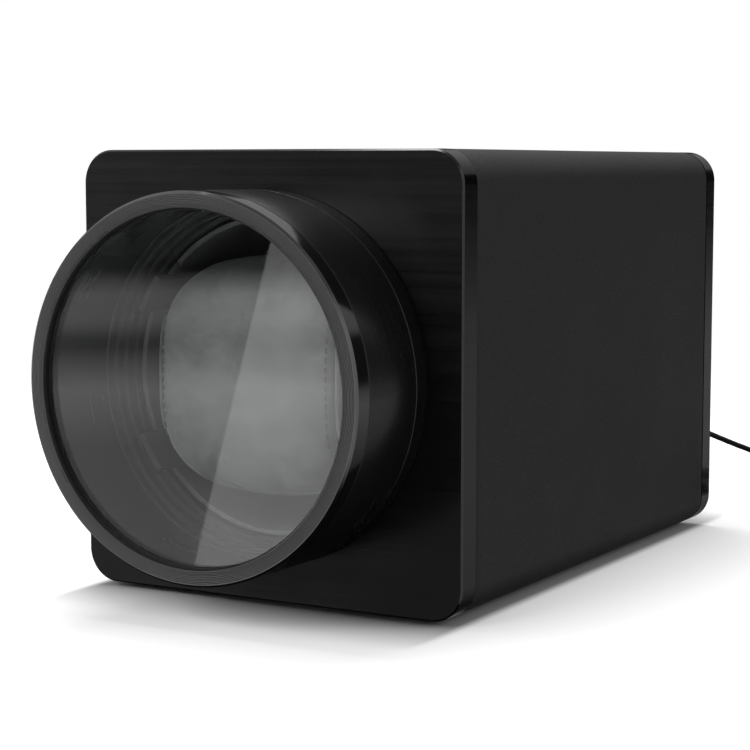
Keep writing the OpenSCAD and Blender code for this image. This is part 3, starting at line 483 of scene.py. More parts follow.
@dataclass(frozen=True)
class PlateFinish(Finish):
    """Black anodised plate with a brushed face and polished edges."""

    edge_roughness: float = 0.08
    edge_shade: float = 0.25
    bevel_shade: float = 16.0
    streaks: Pair = (0.8, 1.35)

    def texture(self, graph: Graph) -> Socket:
        """Brushes the faces along X and leaves the edges smooth.

        Args:
            graph: The material's graph.

        Returns:
            The brushed height.
        """
        lines = use(graph, brushed_lines)
        marks = use(graph, handling_marks)["Mask"]
        facing = graph.facing()
        face = graph.spread(facing, 0.85, 0.95)
        bevel = graph.times(graph.spread(facing, 0.3, 0.5), graph.minus(1.0, face))
        uneven = graph.plus(graph.times(lines["Streak"], 0.1), graph.times(marks, 0.05))
        rough = graph.plus(uneven, graph.spread(face, 0.0, 1.0, self.edge_roughness, self.roughness))
        brushed = graph.blend(lines["Streak"], *(self.scaled(shade) for shade in self.streaks))
        polished = graph.blend(face, self.scaled(self.edge_shade), brushed)
        colour = graph.blend(bevel, polished, self.scaled(self.bevel_shade))
        graph.feed({"Base Color": colour, "Roughness": rough, "Metallic": bevel})
        return graph.times(lines["Height"], face)


@dataclass(frozen=True)
class TurnedFinish(Finish):
    """Anodised metal turned on a lathe."""

    fineness: float = 1.0
    spread: float = 0.7
    streak: float = 0.2
    bore: float = 0.0
    bore_colour: Colour = (0.045, 0.046, 0.0455)

    def texture(self, graph: Graph) -> Socket:
        """Rings the surface round the cup's axis and spreads its gloss across them.

        Args:
            graph: The material's graph.

        Returns:
            The rings' height.
        """
        round_axis = graph.add("ShaderNodeTangent", direction_type="RADIAL", axis="Y").outputs["Tangent"]
        rings = use(graph, turned_lines, Fineness=self.fineness)
        marks = use(graph, handling_marks)["Mask"]
        rough = graph.plus(graph.times(rings["Streak"], 0.04), graph.times(marks, 0.04), self.roughness)
        shade = graph.blend(rings["Streak"], self.scaled(1.0 - self.streak), self.scaled(1.0 + self.streak))
        colour, rough = self.cut(graph, rings["Reach"], shade, rough)
        graph.feed({"Base Color": colour, "Roughness": rough, "Anisotropic": self.spread, "Tangent": round_axis})
        return rings["Height"]

    def cut(self, graph: Graph, reach: Socket, shade: Socket, rough: Socket) -> tuple[Socket, Socket]:
        """Greys the bore.

        Args:
            graph: The material's graph.
            reach: The distance from the cup's axis.
            shade: The colour of the turned face.
            rough: Its roughness.

        Returns:
            The colour and the roughness.
        """
        return graph.blend(graph.fall(reach, self.bore, self.bore + 2.0 * BLUR), shade, self.bore_colour), rough


@dataclass(frozen=True)
class GroovedFinish(TurnedFinish):
    """A turned face with fine grooves between two polished black edges."""

    inner: float = 0.0
    outer: float = 0.0
    groove_painted_shade: float = 0.5
    edge_colour: Colour = (0.003, 0.003, 0.003)
    bevel_colour: Colour = (0.16, 0.16, 0.16)
    edge_roughness: float = 0.1

    def cut(self, graph: Graph, reach: Socket, shade: Socket, rough: Socket) -> tuple[Socket, Socket]:
        """Paints shade on the groove walls and polishes the edges.

        Args:
            graph: The material's graph.
            reach: The distance from the cup's axis.
            shade: The colour of the turned face.
            rough: Its roughness.

        Returns:
            The colour and the roughness.
        """
        facing = graph.facing()
        turning = graph.spread(facing, 0.3, 0.6)
        rim = (self.outer - BLUR, self.outer)
        bevel = graph.times(graph.spread(reach, *rim), turning)
        within = graph.times(graph.spread(reach, self.inner, self.inner + BLUR), graph.fall(reach, *rim))
        turned = graph.times(within, turning)
        # Painted shade: the sloped groove walls take a darker copy of the face colour.
        grooved = graph.blend(graph.spread(facing, 0.8, 0.95), self.scaled(self.groove_painted_shade), shade)
        edged = graph.blend(bevel, self.edge_colour, self.bevel_colour)
        duller = graph.times(graph.minus(rough, self.edge_roughness), turned)
        graph.feed({"Metallic": bevel})
        rough = graph.plus(duller, self.edge_roughness)
        return super().cut(graph, reach, graph.blend(turned, edged, grooved), rough)


@dataclass(frozen=True)
class MachinedFinish(Finish):
    """Bare metal with tool marks and a little tarnish."""

    tarnish: float = 0.25

    def texture(self, graph: Graph) -> Socket:
        """Marks and dulls the surface unevenly.

        Args:
            graph: The material's graph.

        Returns:
            The tool marks' height.
        """
        marks = use(graph, handling_marks, Scale=120.0)["Mask"]
        colour = graph.blend(marks, self.colour, self.scaled(1.0 - self.tarnish))
        graph.feed({"Base Color": colour, "Roughness": graph.plus(graph.times(marks, 0.14), self.roughness)})
        return use(graph, brushed_lines, Fineness=0.6)["Height"]


@dataclass(frozen=True)
class MouldedFinish(Finish):
    """Plastic or rubber from a mould."""

    dust: float = 0.2
    dust_shade: float = 0.3

    def texture(self, graph: Graph) -> Socket:
        """Waves the gloss and settles a little dust.

        Args:
            graph: The material's graph.

        Returns:
            The skin's height.
        """
        skin = use(graph, moulded_skin)
        dust = use(graph, settled_dust, Amount=self.dust)["Mask"]
        colour = graph.blend(dust, self.colour, self.lighter(self.dust_shade))
        rough = graph.plus(graph.times(skin["Flow"], 0.05), graph.times(dust, 0.5), self.roughness)
        graph.feed({"Base Color": colour, "Roughness": rough})
        return skin["Height"]


@dataclass(frozen=True)
class LeatheretteFinish(Finish):
    """Fine-grained leatherette."""

    grain: float = 1100.0
    worn_shade: float = 1.1
    crease_painted_shade: float = 0.8

    def texture(self, graph: Graph) -> Socket:
        """Pebbles the surface and darkens its creases.

        Args:
            graph: The material's graph.

        Returns:
            The grain's height.
        """
        grain = use(graph, leather_grain, Scale=self.grain)
        marks = use(graph, handling_marks, Scale=18.0)["Mask"]
        top = graph.blend(marks, self.colour, self.scaled(self.worn_shade))
        # Painted shade: the grain's creases are darkened by crease_painted_shade.
        colour = graph.blend(grain["Valley"], top, self.scaled(self.crease_painted_shade))
        rough = graph.plus(graph.times(grain["Valley"], 0.1), graph.times(marks, -0.04), self.roughness)
        graph.feed({"Base Color": colour, "Roughness": rough})
        return grain["Height"]


@dataclass(frozen=True)
class SuedeFinish(Finish):
    """Short-napped suede, and what has short fibres like it."""

    sheen: float = 0.35
    sheen_colour: Colour = (0.75, 0.77, 0.78)
    sheen_roughness: float = 0.55
    shades: Pair = (0.62, 1.45)
    dark_roughness: float = 0.98

    def texture(self, graph: Graph) -> Socket:
        """Shades the nap as it lies.

        Args:
            graph: The material's graph.

        Returns:
            The nap's height.
        """
        nap = use(graph, suede_nap)
        colour = graph.blend(nap["Shade"], *(self.scaled(shade) for shade in self.shades))
        rough = graph.spread(nap["Shade"], 0.0, 1.0, self.dark_roughness, self.roughness)
        graph.feed({"Base Color": colour, "Roughness": rough})
        graph.feed({"Sheen Weight": self.sheen, "Sheen Roughness": self.sheen_roughness})
        graph.feed({"Sheen Tint": (*self.sheen_colour, 1.0)})
        return nap["Height"]


@dataclass(frozen=True)
class GlassFinish(Finish):
    """Clear polished glass that lets the lamps through."""

    smear: float = 0.015
    tint: Colour = (0.93, 0.95, 0.95)

    def texture(self, graph: Graph) -> None:
        """Adds faint smears and a clear way for the lamps.

        Args:
            graph: The material's graph.
        """
        marks = use(graph, handling_marks, Scale=25.0)["Mask"]
        graph.feed({"Transmission Weight": 1.0, "IOR": 1.5, "Roughness": graph.times(marks, self.smear)})
        rays = graph.rays()
        graph.let_through(graph.most(rays["Is Shadow Ray"], rays["Is Diffuse Ray"]), self.tint)


@functools.cache
def material(finish: Finish) -> bpy.types.Material:
    """The finish's material, built once."""
    return finish.material()


RING_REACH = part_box("cover_ring")[1][0]
GASKET_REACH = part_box("cover_gasket")[1][0]
GLASS_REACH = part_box("cover_glass")[1][0]
FINE = {"relief": 0.04, "depth": 0.01 * MM, "dust": 0.06}

PLATE = PlateFinish("brushed_black_plate", (0.0045, 0.0045, 0.0047), 0.25, specular=0.3, relief=0.12)
BARREL = TurnedFinish(
    "turned_black_metal", (0.004, 0.004, 0.0042), 0.22, relief=0.02, spread=0.6, bore=RING_REACH - 1.8 * MM,
)
RING = GroovedFinish(
    "grooved_black_ring", (0.075, 0.075, 0.0755), 0.28, specular=1.0, relief=0.08, fineness=1.3, spread=0.6, streak=0.1,
    inner=GASKET_REACH - 0.9 * MM, outer=RING_REACH - 0.6 * MM, bore=GLASS_REACH + 0.3 * MM,
)
LINER = TurnedFinish("satin_black_liner", (0.05, 0.051, 0.0505), 0.34, relief=0.01, spread=0.8, streak=0.06)
LEATHERETTE = LeatheretteFinish(
    "black_leatherette", (0.0145, 0.0145, 0.0147), 0.5, specular=0.24, relief=0.6, depth=0.07 * MM,
)
GLOSS = MouldedFinish("polished_black_plastic", (0.06, 0.0605, 0.0605), 0.2, **FINE)
CUP = MouldedFinish("moulded_black_cup", (0.14, 0.141, 0.1405), 0.3, **FINE)
SUEDE = SuedeFinish("dark_grey_suede", (0.125, 0.125, 0.125), 0.86, specular=0.15, relief=0.15, depth=0.05 * MM)
GLASS = GlassFinish("clear_glass", (1.0, 1.0, 1.0), 0.0)
RUBBER = MouldedFinish("black_rubber", (0.012, 0.012, 0.012), 0.7, specular=0.3, relief=0.5)
SATIN = MouldedFinish("satin_black_plastic", (0.014, 0.014, 0.014), 0.38, specular=0.45, relief=0.3, dust=0.12)
SLEEVE = MouldedFinish("lead_sleeve", (0.005, 0.005, 0.005), 0.5, specular=0.2, relief=0.25, dust=0.02)
WIRE = MouldedFinish("wire_insulation", (0.45, 0.05, 0.04), 0.4)
ACETAL = MouldedFinish("acetal_gear", (0.82, 0.80, 0.72), 0.42)
BLACK_STEEL = MachinedFinish("blackened_steel", (0.05, 0.05, 0.052), 0.34, metallic=0.7, relief=0.1)
BRIGHT_STEEL = MachinedFinish("ground_steel", (0.62, 0.62, 0.64), 0.24, metallic=1.0, relief=0.1)
ALUMINIUM = MachinedFinish("machined_aluminium", (0.72, 0.73, 0.75), 0.32, metallic=1.0, relief=0.12)
BRONZE = MachinedFinish("machined_bronze", (0.60, 0.42, 0.20), 0.3, metallic=1.0, relief=0.12, tarnish=0.4)
FIBREBOARD = SuedeFinish("raw_fibreboard", (0.36, 0.27, 0.18), 0.9, specular=0.2, relief=0.4, sheen=0.0)
SOLDER_MASK = MouldedFinish("green_solder_mask", (0.012, 0.12, 0.055), 0.3, relief=0.1)
SUEDE_TRIM = SuedeFinish("suede_piping", (0.1, 0.1, 0.1), 0.88, specular=0.2, relief=0.5, depth=0.1 * MM)
THREAD = MouldedFinish("sewing_thread", (0.05, 0.05, 0.05), 0.7, relief=0.4, dust=0.1)
WEBBING = SuedeFinish("black_webbing", (0.016, 0.016, 0.016), 0.85, specular=0.3, relief=0.5, sheen=0.2)
WHITE_PAINT = MouldedFinish("white_marking", (0.72, 0.72, 0.70), 0.5, relief=0.1, dust=0.0)

NODE_FINISHES: dict[Finish, str] = {
    PLATE: "front_plate rear_plate",
    BARREL: "base_ring barrel",
    LINER: "glass_retainer baffle",
    RING: "cover_ring",
    GLOSS: "pillow_cradle",
    CUP: "cup",
    GLASS: "cover_glass",
    RUBBER: "feet cover_gasket grip_ring",
    SATIN: "programme_knob direction_switch direction_slider power_socket",
    SLEEVE: "lead_plug lead_relief",
    WIRE: "motor_leads socket_leads",
    ACETAL: "large_gear",
    BLACK_STEEL: "rear_screws baffle_screws hub_screws motor_screws shaft_collar",
    BRIGHT_STEEL: "cup_shaft motor_shaft motor socket_nut usb_shell programme_switch",
    ALUMINIUM: "ring_nut front_bulkhead rear_bulkhead cup_hub spacer_tubes tie_rods",
    BRONZE: "front_bush rear_bush pinion board_pillars",
    FIBREBOARD: "body_board",
    SOLDER_MASK: "circuit_board",
}


# ---- studio ----


def placed(name: str, data: bpy.types.ID) -> bpy.types.Object:
    """Stands a mesh, curve, lamp or camera in the scene.

    Args:
        name: The object's name.
        data: What it shows.

    Returns:
        The new object.
    """
    made = bpy.data.objects.new(name, data)
    bpy.context.scene.collection.objects.link(made)
    return made


@dataclass(frozen=True)
class Lamp:
    """A soft lamp and where it hangs."""

    name: str
    at: Triple
    aim: Triple
    size: Pair
    power: float

    def hang(self) -> None:
        """Adds the lamp to the scene."""
        data = bpy.data.lights.new(self.name, "AREA")
        data.shape = "RECTANGLE"
        data.size, data.size_y = self.size
        data.energy = self.power
        lamp = placed(self.name, data)
        lamp.location = self.at
        lamp.rotation_euler = (Vector(self.aim) - Vector(self.at)).to_track_quat("-Z", "Y").to_euler()


@dataclass(frozen=True)
class Studio:
    """The floor, the surroundings, the lamps and the camera.

    The surroundings are laid out by direction: their edges are heights over
    the horizon or turns from the front, in degrees, or parts of the
    direction along X or Y.
    """

    camera_at: Triple = (0.2985, -0.5337, 0.1209)
    yaw: float = 29.975
    pitch: float = 5.935
    lens: float = 96.38
    sensor: float = 36.0
    floor_half: float = 1.6
    floor_colour: float = 0.86
    floor_lift: float = 0.26
    # Painted shadow on the floor: round the housing's footing its glow is held back and its colour darkened, less far
    # along the sides.
    lift_shadow_reach: float = 0.028
    painted_shadow_share: float = 0.5
    painted_shadow_reach: float = 0.032
    shadow_side_tightness: float = 8.0
    footing_half: Pair = (0.057, 0.088)
    footing_middle: float = 0.014
    fade_shape: Triple = (1.0, 0.85, 1.0)
    floor_fade: Pair = (0.30, 0.62)
    fill: float = 0.46
    low_gloss: float = 0.34
    low_edge: Pair = (-4.9, -0.8)
    near_edge: Pair = (-30.0, -9.0)
    behind_edge: Pair = (-0.1, 0.2)
    rim_gloss: float = 0.35
    rim_edge: Pair = (13.0, 15.5)
    high_gloss: float = 0.65
    high_edge: Pair = (20.0, 55.0)
    front_share: float = 0.25
    front_edge: Pair = (-0.2, 0.2)
    dark_gloss: float = 0.015
    right_gloss: float = 0.5
    right_across: Pair = (0.6, 0.75)
    right_along: Pair = (-0.3, -0.1)
    card_gloss: float = 0.88
    card_left: float = -34.15
    card_lean: float = 0.245
    card_right: float = -30.4
    card_heights: Pair = (-13.0, -1.1)
    card_blurs: tuple[float, float, float, float] = (0.03, 0.2, 0.4, 0.1)
    paper_reach: Pair = (-30.0, -18.0)
    paper_front: Pair = (-0.5, -0.3)
    strip_gloss: float = 0.65
    strip_top: Pair = (-3.6, -2.9)
    strip_foot: Pair = (-5.1, -4.3)
    sheet_gloss: Pair = (0.6, 1.0)
    sheet_top: Pair = (-6.3, -4.85)
    sheet_foot: Pair = (-7.9, -6.3)
    lamps: tuple[Lamp, ...] = (
        Lamp("overhead", (-0.19, 0.1, 0.95), (-0.19, 0.1, 0.0), (0.52, 0.55), 6.5),
        Lamp("left_bank", (-0.95, -0.55, 0.35), (0.0, -0.05, 0.06), (0.5, 0.7), 2.2),
        Lamp("right_bank", (0.95, 0.1, 0.5), (0.05, 0.0, 0.06), (0.35, 0.4), 2.4),
        Lamp("front_bank", (-0.42, -1.1, 0.75), (0.0, -0.1, 0.06), (0.6, 0.4), 6.0),
    )

    def camera(self) -> None:
        """Stands the camera and makes it the scene's."""
        data = bpy.data.cameras.new("camera")
        data.lens = self.lens
        data.sensor_width = self.sensor
        data.clip_start = 0.01
        camera = placed("camera", data)
        camera.location = self.camera_at
        camera.rotation_euler = (math.radians(90.0 - self.pitch), 0.0, math.radians(self.yaw))
        bpy.context.scene.camera = camera

    def floor(self) -> None:
        """Lays the pale floor, which fades into the backdrop, which polished surfaces don't show, and which has a
        painted shadow round the housing's footing.
        """
        half = self.floor_half
        mesh = bpy.data.meshes.new("floor")
        mesh.from_pydata([(-half, -half, 0), (half, -half, 0), (half, half, 0), (-half, half, 0)], [], [(0, 1, 2, 3)])
        placed("floor", mesh)
        made, graph = new_material("pale_floor")
        mesh.materials.append(made)
        rays = graph.rays()
        seen = graph.most(rays["Is Camera Ray"], rays["Is Transmission Ray"])
        place = graph.parts(graph.place())
        half_width, half_depth = self.footing_half
        aside = graph.most(graph.minus(graph.math("ABSOLUTE", place[0]), half_width), 0.0)
        along = graph.minus(place[1], self.footing_middle)
        beyond = graph.most(graph.minus(graph.math("ABSOLUTE", along), half_depth), 0.0)
        away = graph.add("ShaderNodeCombineXYZ", {0: graph.times(aside, self.shadow_side_tightness), 1: beyond}).outputs[0]
        near = graph.length(away)
        # Painted shadow: no camera-only glow at the footing, rising to floor_lift further out.
        lift = graph.spread(near, 0.0, self.lift_shadow_reach, 0.0, self.floor_lift)
        # Painted shadow: the floor's colour is darkened towards the footing.
        dark = self.painted_shadow_share * self.floor_colour
        colour = graph.spread(near, 0.0, self.painted_shadow_reach, dark, self.floor_colour)
        graph.feed({"Base Color": colour, "Roughness": 0.9, "Specular IOR Level": 0.0})
        graph.feed({"Emission Color": WHITE, "Emission Strength": graph.times(seen, lift)})
        reach = graph.length(graph.place(self.fade_shape))
        faded = graph.times(graph.spread(reach, *self.floor_fade), seen)
        graph.let_through(graph.most(faded, rays["Is Glossy Ray"]))

    def card(self, graph: Graph, way: bpy.types.bpy_prop_collection, height: Socket) -> Socket:
        """A bright card low in front of the object, with a leaning edge, and the paper that it stands on.

        Args:
            graph: The world's graph.
            way: The direction's X, Y and Z.
            height: The direction's height over the horizon in degrees.

        Returns:
            How bright they are.
        """
        turn = graph.times(graph.math("ARCTAN2", way[0], graph.times(way[1], -1.0)), DEGREES)
        low, high = self.card_heights
        left_blur, right_blur, low_blur, high_blur = self.card_blurs
        edge = graph.plus(graph.times(graph.minus(height, (low + high) / 2), self.card_lean), self.card_left)
        left = graph.spread(graph.minus(turn, edge), -left_blur, left_blur)
        right = graph.fall(turn, self.card_right - right_blur, self.card_right + right_blur)
        bottom = graph.spread(height, low - low_blur, low + low_blur)
        top = graph.fall(height, high - high_blur, high + high_blur)
        standing = graph.times(graph.times(left, self.card_gloss), graph.times(bottom, top))
        folded = graph.spread(height, *self.strip_foot, 0.0, self.strip_gloss)
        strip = graph.times(graph.fall(height, *self.strip_top), folded)
        swell = graph.spread(height, *self.sheet_foot, *self.sheet_gloss)
        sheet = graph.times(graph.fall(height, *self.sheet_top), swell)
        laid = graph.times(graph.spread(height, *self.paper_reach), graph.fall(way[1], *self.paper_front))
        return graph.times(graph.plus(standing, graph.times(graph.plus(strip, sheet), laid)), right)

    def surroundings(self) -> None:
        """Makes the backdrop white for the camera, and a dark studio with pale sheets for polished surfaces."""
        world = bpy.data.worlds.new("studio")
        bpy.context.scene.world = world
        world.use_nodes = True
        graph = Graph(world.node_tree, "Background")
        way = graph.parts(graph.add("ShaderNodeTexCoord").outputs["Generated"])
        height = graph.times(graph.math("ARCSINE", way[2]), DEGREES)
        near = graph.spread(height, *self.near_edge)
        low = graph.times(near, graph.spread(height, *self.low_edge, self.low_gloss, 0.0))
        behind = graph.times(low, graph.spread(way[1], *self.behind_edge))
        rim = graph.spread(height, *self.rim_edge, 0.0, self.rim_gloss)
        high = graph.plus(rim, graph.spread(height, *self.high_edge, 0.0, self.high_gloss))
        above = graph.times(high, graph.spread(way[1], *self.front_edge, self.front_share, 1.0))
        right = graph.spread(way[1], *self.right_along, self.right_gloss, 0.0)
        right = graph.times(graph.spread(way[0], *self.right_across), right)
        cards = graph.plus(self.card(graph, way, height), right)
        shown = graph.plus(behind, above, cards, self.dark_gloss)
        rays = graph.rays()
        seen = rays["Is Camera Ray"]
        polished = graph.most(rays["Is Glossy Ray"], rays["Is Transmission Ray"])
        other = graph.minus(1.0, graph.most(seen, polished))
        strength = graph.plus(graph.most(seen, graph.times(polished, shown)), graph.times(other, self.fill))
        graph.feed({"Color": WHITE, "Strength": strength})

    def build(self) -> None:
        """Sets up the studio."""
        bpy.context.scene.view_settings.view_transform = "Standard"
        self.camera()
        self.floor()
        self.surroundings()
        for lamp in self.lamps:
            lamp.hang()


# ---- making pieces ----


class Carrier(Enum):
    """The moving bodies that pieces ride on."""

    HOUSING = "housing"
    CUSHION = "cushion"
    KNOB = "knob"


def add_piece(name: str, data: bpy.types.ID, carrier: Carrier, finish: Finish) -> bpy.types.Object:
    """Puts a mesh or curve in the scene as a piece of the object.

    Args:
        name: The piece's name.
        data: Its mesh or curve, in the row frame.
        carrier: The body it rides on.
        finish: Its finish.

    Returns:
        The new object.
    """
    piece = placed(name, data)
    data.materials.append(material(finish))
    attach(piece, carrier.value)
    log.info("%s rides on %s", name, carrier.value)
    return piece


def corners(node: str) -> tuple[Vector, Vector]:
    """A node's lowest and highest corners at rest."""
    return tuple(Vector(corner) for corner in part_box(node))


def turns(count: int) -> list[float]:
    """Angles that part a full turn evenly."""
    return [2.0 * math.pi * k / count for k in range(count)]


def squarish(u: float, v: float, power: float) -> float:
    """How far out a point lies, measured by rounded squares."""
    return (abs(u) ** power + abs(v) ** power) ** (1.0 / power)


def mesh_of_rings(name: str, rings: Sequence[Sequence[Vector]], closed: bool) -> bpy.types.Mesh:
    """Skins rings of as many points each.

    Args:
        name: The mesh's name.
        rings: The rings in order, each a closed loop of points.
        closed: True if the last ring joins the first, and False to cap both.

    Returns:
        The mesh, shaded smooth.
    """
    n = len(rings[0])
    faces = []
    for i in range(len(rings) if closed else len(rings) - 1):
        a, b = i * n, (i + 1) % len(rings) * n
        faces += [(a + k, b + k, b + (k + 1) % n, a + (k + 1) % n) for k in range(n)]
    if not closed:
        last = (len(rings) - 1) * n
        faces += [tuple(range(n)), tuple(last + k for k in reversed(range(n)))]
    mesh = bpy.data.meshes.new(name)
    mesh.from_pydata([tuple(p) for ring in rings for p in ring], [], faces)
    tidy = bmesh.new()
    tidy.from_mesh(mesh)
    bmesh.ops.recalc_face_normals(tidy, faces=tidy.faces)
    tidy.to_mesh(mesh)
    tidy.free()
    mesh.polygons.foreach_set("use_smooth", [True] * len(mesh.polygons))
    return mesh


def smooth_step(x: float) -> float:
    """An even step from 0 to 1."""
    x = min(max(x, 0.0), 1.0)
    return x * x * (3.0 - 2.0 * x)


def bell(x: float, width: float) -> float:
    """A bump of 1 at 0 that fades over a width."""
    return math.exp(-((x / width) ** 2))


def joined(name: str, meshes: Sequence[bpy.types.Mesh]) -> bpy.types.Mesh:
    """Puts several meshes in one and drops them.

    Args:
        name: The new mesh's name.
        meshes: The meshes, all in one frame.

    Returns:
        The mesh that holds them all.
    """
    whole = bmesh.new()
    for mesh in meshes:
        whole.from_mesh(mesh)
    made = bpy.data.meshes.new(name)
    whole.to_mesh(made)
    whole.free()
    for mesh in meshes:
        bpy.data.meshes.remove(mesh)
    return made


def sweep(
    name: str, path: Sequence[Vector], across: Sequence[Vector], profile: Sequence[Pair], closed: bool = False,
) -> bpy.types.Mesh:
    """Carries a closed profile along a path.

    Args:
        name: The mesh's name.
        path: The points of the middle line.
        across: At each point, the direction of the profile's first axis.
        profile: The profile's points, as distances along its two axes.
        closed: True if the path returns to its start.

    Returns:
        The mesh.
    """
    rings = []
    last = len(path) - 1
    for i, (point, side) in enumerate(zip(path, across)):
        ahead = path[(i + 1) % len(path)] if closed or i < last else point
        behind = path[i - 1] if closed or i > 0 else point
        up = side.cross((ahead - behind).normalized()).normalized()
        rings.append([point + side * u + up * v for u, v in profile])
    return mesh_of_rings(name, rings, closed)


def pill(half_width: float, half_height: float, steps: int = 4) -> list[Pair]:
    """A flat profile with round ends.

    Args:
        half_width: Half of its width.
        half_height: Half of its height, and the radius of its ends.
        steps: How many parts each end is cut into.

    Returns:
        Its points in order.
    """
    turns = [math.pi * (k / steps - 0.5) for k in range(steps + 1)]
    flat = half_width - half_height
    right = [(flat + half_height * math.cos(t), half_height * math.sin(t)) for t in turns]
    return right + [(-u, -v) for u, v in right]


def rounded_outline(
    half_width: float, half_height: float, radius: float, step: float,
) -> list[tuple[float, float, float, float]]:
    """Points round a rectangle with round corners.

    Args:
        half_width: Half of its width.
        half_height: Half of its height.
        radius: The radius of its corners.
        step: The distance between points on its sides.

    Returns:
        Points with the direction that faces outwards, as x, z, out_x, out_z.
    """
    points = []
    corners = ((1, -1, -90), (1, 1, 0), (-1, 1, 90), (-1, -1, 180))
    per_corner = 10
    for i, (sx, sz, first) in enumerate(corners):
        cx, cz = sx * (half_width - radius), sz * (half_height - radius)
        for k in range(per_corner + 1):
            t = math.radians(first + 90 * k / per_corner)
            points.append((cx + radius * math.cos(t), cz + radius * math.sin(t), math.cos(t), math.sin(t)))
        nx, nz = corners[(i + 1) % 4][:2]
        t = math.radians(first + 90)
        start, end = Vector(points[-1][:2]), Vector((nx * (half_width - radius), nz * (half_height - radius)))
        end += Vector((math.cos(t), math.sin(t))) * radius
        parts = max(round((end - start).length / step), 1)
        points += [(*start.lerp(end, k / parts), math.cos(t), math.sin(t)) for k in range(1, parts)]
    return points


def curve_through(points: Sequence[Vector], steps: int) -> list[Vector]:
    """Points on a smooth curve through others.

    Args:
        points: The points it passes through.
        steps: How many parts each stretch is cut into.

    Returns:
        The finer points.
    """
    fine = []
    for i in range(len(points) - 1):
        a, b, c, d = (points[min(max(k, 0), len(points) - 1)] for k in (i - 1, i, i + 1, i + 2))
        for k in range(steps):
            t = k / steps
            square, cube = 2 * a - 5 * b + 4 * c - d, 3 * b - a - 3 * c + d
            fine.append(0.5 * (2 * b + (c - a) * t + square * t * t + cube * t ** 3))
    return fine + [points[-1].copy()]


def tube(name: str, points: Sequence[Vector], radius: float) -> bpy.types.Curve:
    """A round cord along points.

    Args:
        name: The curve's name.
        points: The points of its middle line.
        radius: Its radius.

    Returns:
        The curve, of one open spline.
    """
    curve = bpy.data.curves.new(name, "CURVE")
    curve.dimensions = "3D"
    curve.bevel_depth = radius
    curve.bevel_resolution = 4
    curve.use_fill_caps = True
    spline = curve.splines.new("POLY")
    spline.points.add(len(points) - 1)
    for spot, point in zip(spline.points, points):
        spot.co = (*point, 1.0)
    spline.use_smooth = True
    return curve


# ---- lead ----


@dataclass
class PlugGrip:
    """The moulded grip of the far plug, with a ribbed sleeve and finger ridges."""

    sleeve: float = 8.0 * MM
    sleeve_radius: float = 1.35 * MM
    sleeve_flare: float = 0.75 * MM
    ribs: int = 5
    rib: float = 0.35 * MM
    neck: float = 2.4 * MM
    waist: float = 0.3 * MM
    ridge: float = 0.28 * MM
    ridge_width: float = 0.022
    ridges: tuple[float, ...] = (0.34, 0.44, 0.54, 0.64)
    edge: float = 0.5 * MM
    squareness: float = 4.2
    shoulder: float = 0.12
    nose: float = 0.06
    rib_fade: float = 0.3
    sleeve_rings: int = 32
    body_rings: int = 24

    def __post_init__(self) -> None:
        """Reads the space that the grip fills."""
        self.low, self.high = corners("usb_grip")
        self.middle = (self.low + self.high) / 2

    def ring(self, y: float, half_width: float, half_height: float, power: float) -> list[Vector]:
        """One ring round the grip.

        Args:
            y: Where it lies along the plug.
            half_width: Half of its width.
            half_height: Half of its height.
            power: 2 for an oval, and more for a squarer ring.

        Returns:
            The ring's points.
        """
        points = []
        for turn in turns(40):
            c, s = math.cos(turn), math.sin(turn)
            x = half_width * math.copysign(abs(c) ** (2.0 / power), c)
            z = half_height * math.copysign(abs(s) ** (2.0 / power), s)
            points.append(Vector((self.middle.x + x, y, self.middle.z + z)))
        return points

    def mesh(self) -> bpy.types.Mesh:
        """Skins the sleeve and the body.

        Returns:
            The grip's mesh.
        """
        low, high = self.low, self.high
        wide, tall = (high.x - low.x) / 2, (high.z - low.z) / 2
        body = high.y - self.sleeve - low.y
        rings = []
        for i in range(self.sleeve_rings + 1):
            t = i / self.sleeve_rings
            rib = self.rib * (0.5 + 0.5 * math.cos(2.0 * math.pi * t * self.ribs))
            radius = self.sleeve_radius + self.sleeve_flare * t + rib * (1.0 - self.rib_fade * t)
            rings.append(self.ring(high.y - self.sleeve * t, radius, radius, 2.0))
        for i in range(self.body_rings + 1):
            t = i / self.body_rings
            grow = smooth_step(t / self.shoulder)
            eased = self.edge * (1.0 - smooth_step((1.0 - t) / self.nose))
            ridge = self.ridge * sum(bell(t - at, self.ridge_width) for at in self.ridges)
            half_width = self.neck + (wide - self.neck - self.waist + ridge) * grow - eased
            half_height = self.neck + (tall - self.neck) * grow - eased
            power = 2.0 + (self.squareness - 2.0) * grow
            rings.append(self.ring(high.y - self.sleeve - body * t, half_width, half_height, power))
        return mesh_of_rings("plug_grip", rings, False)


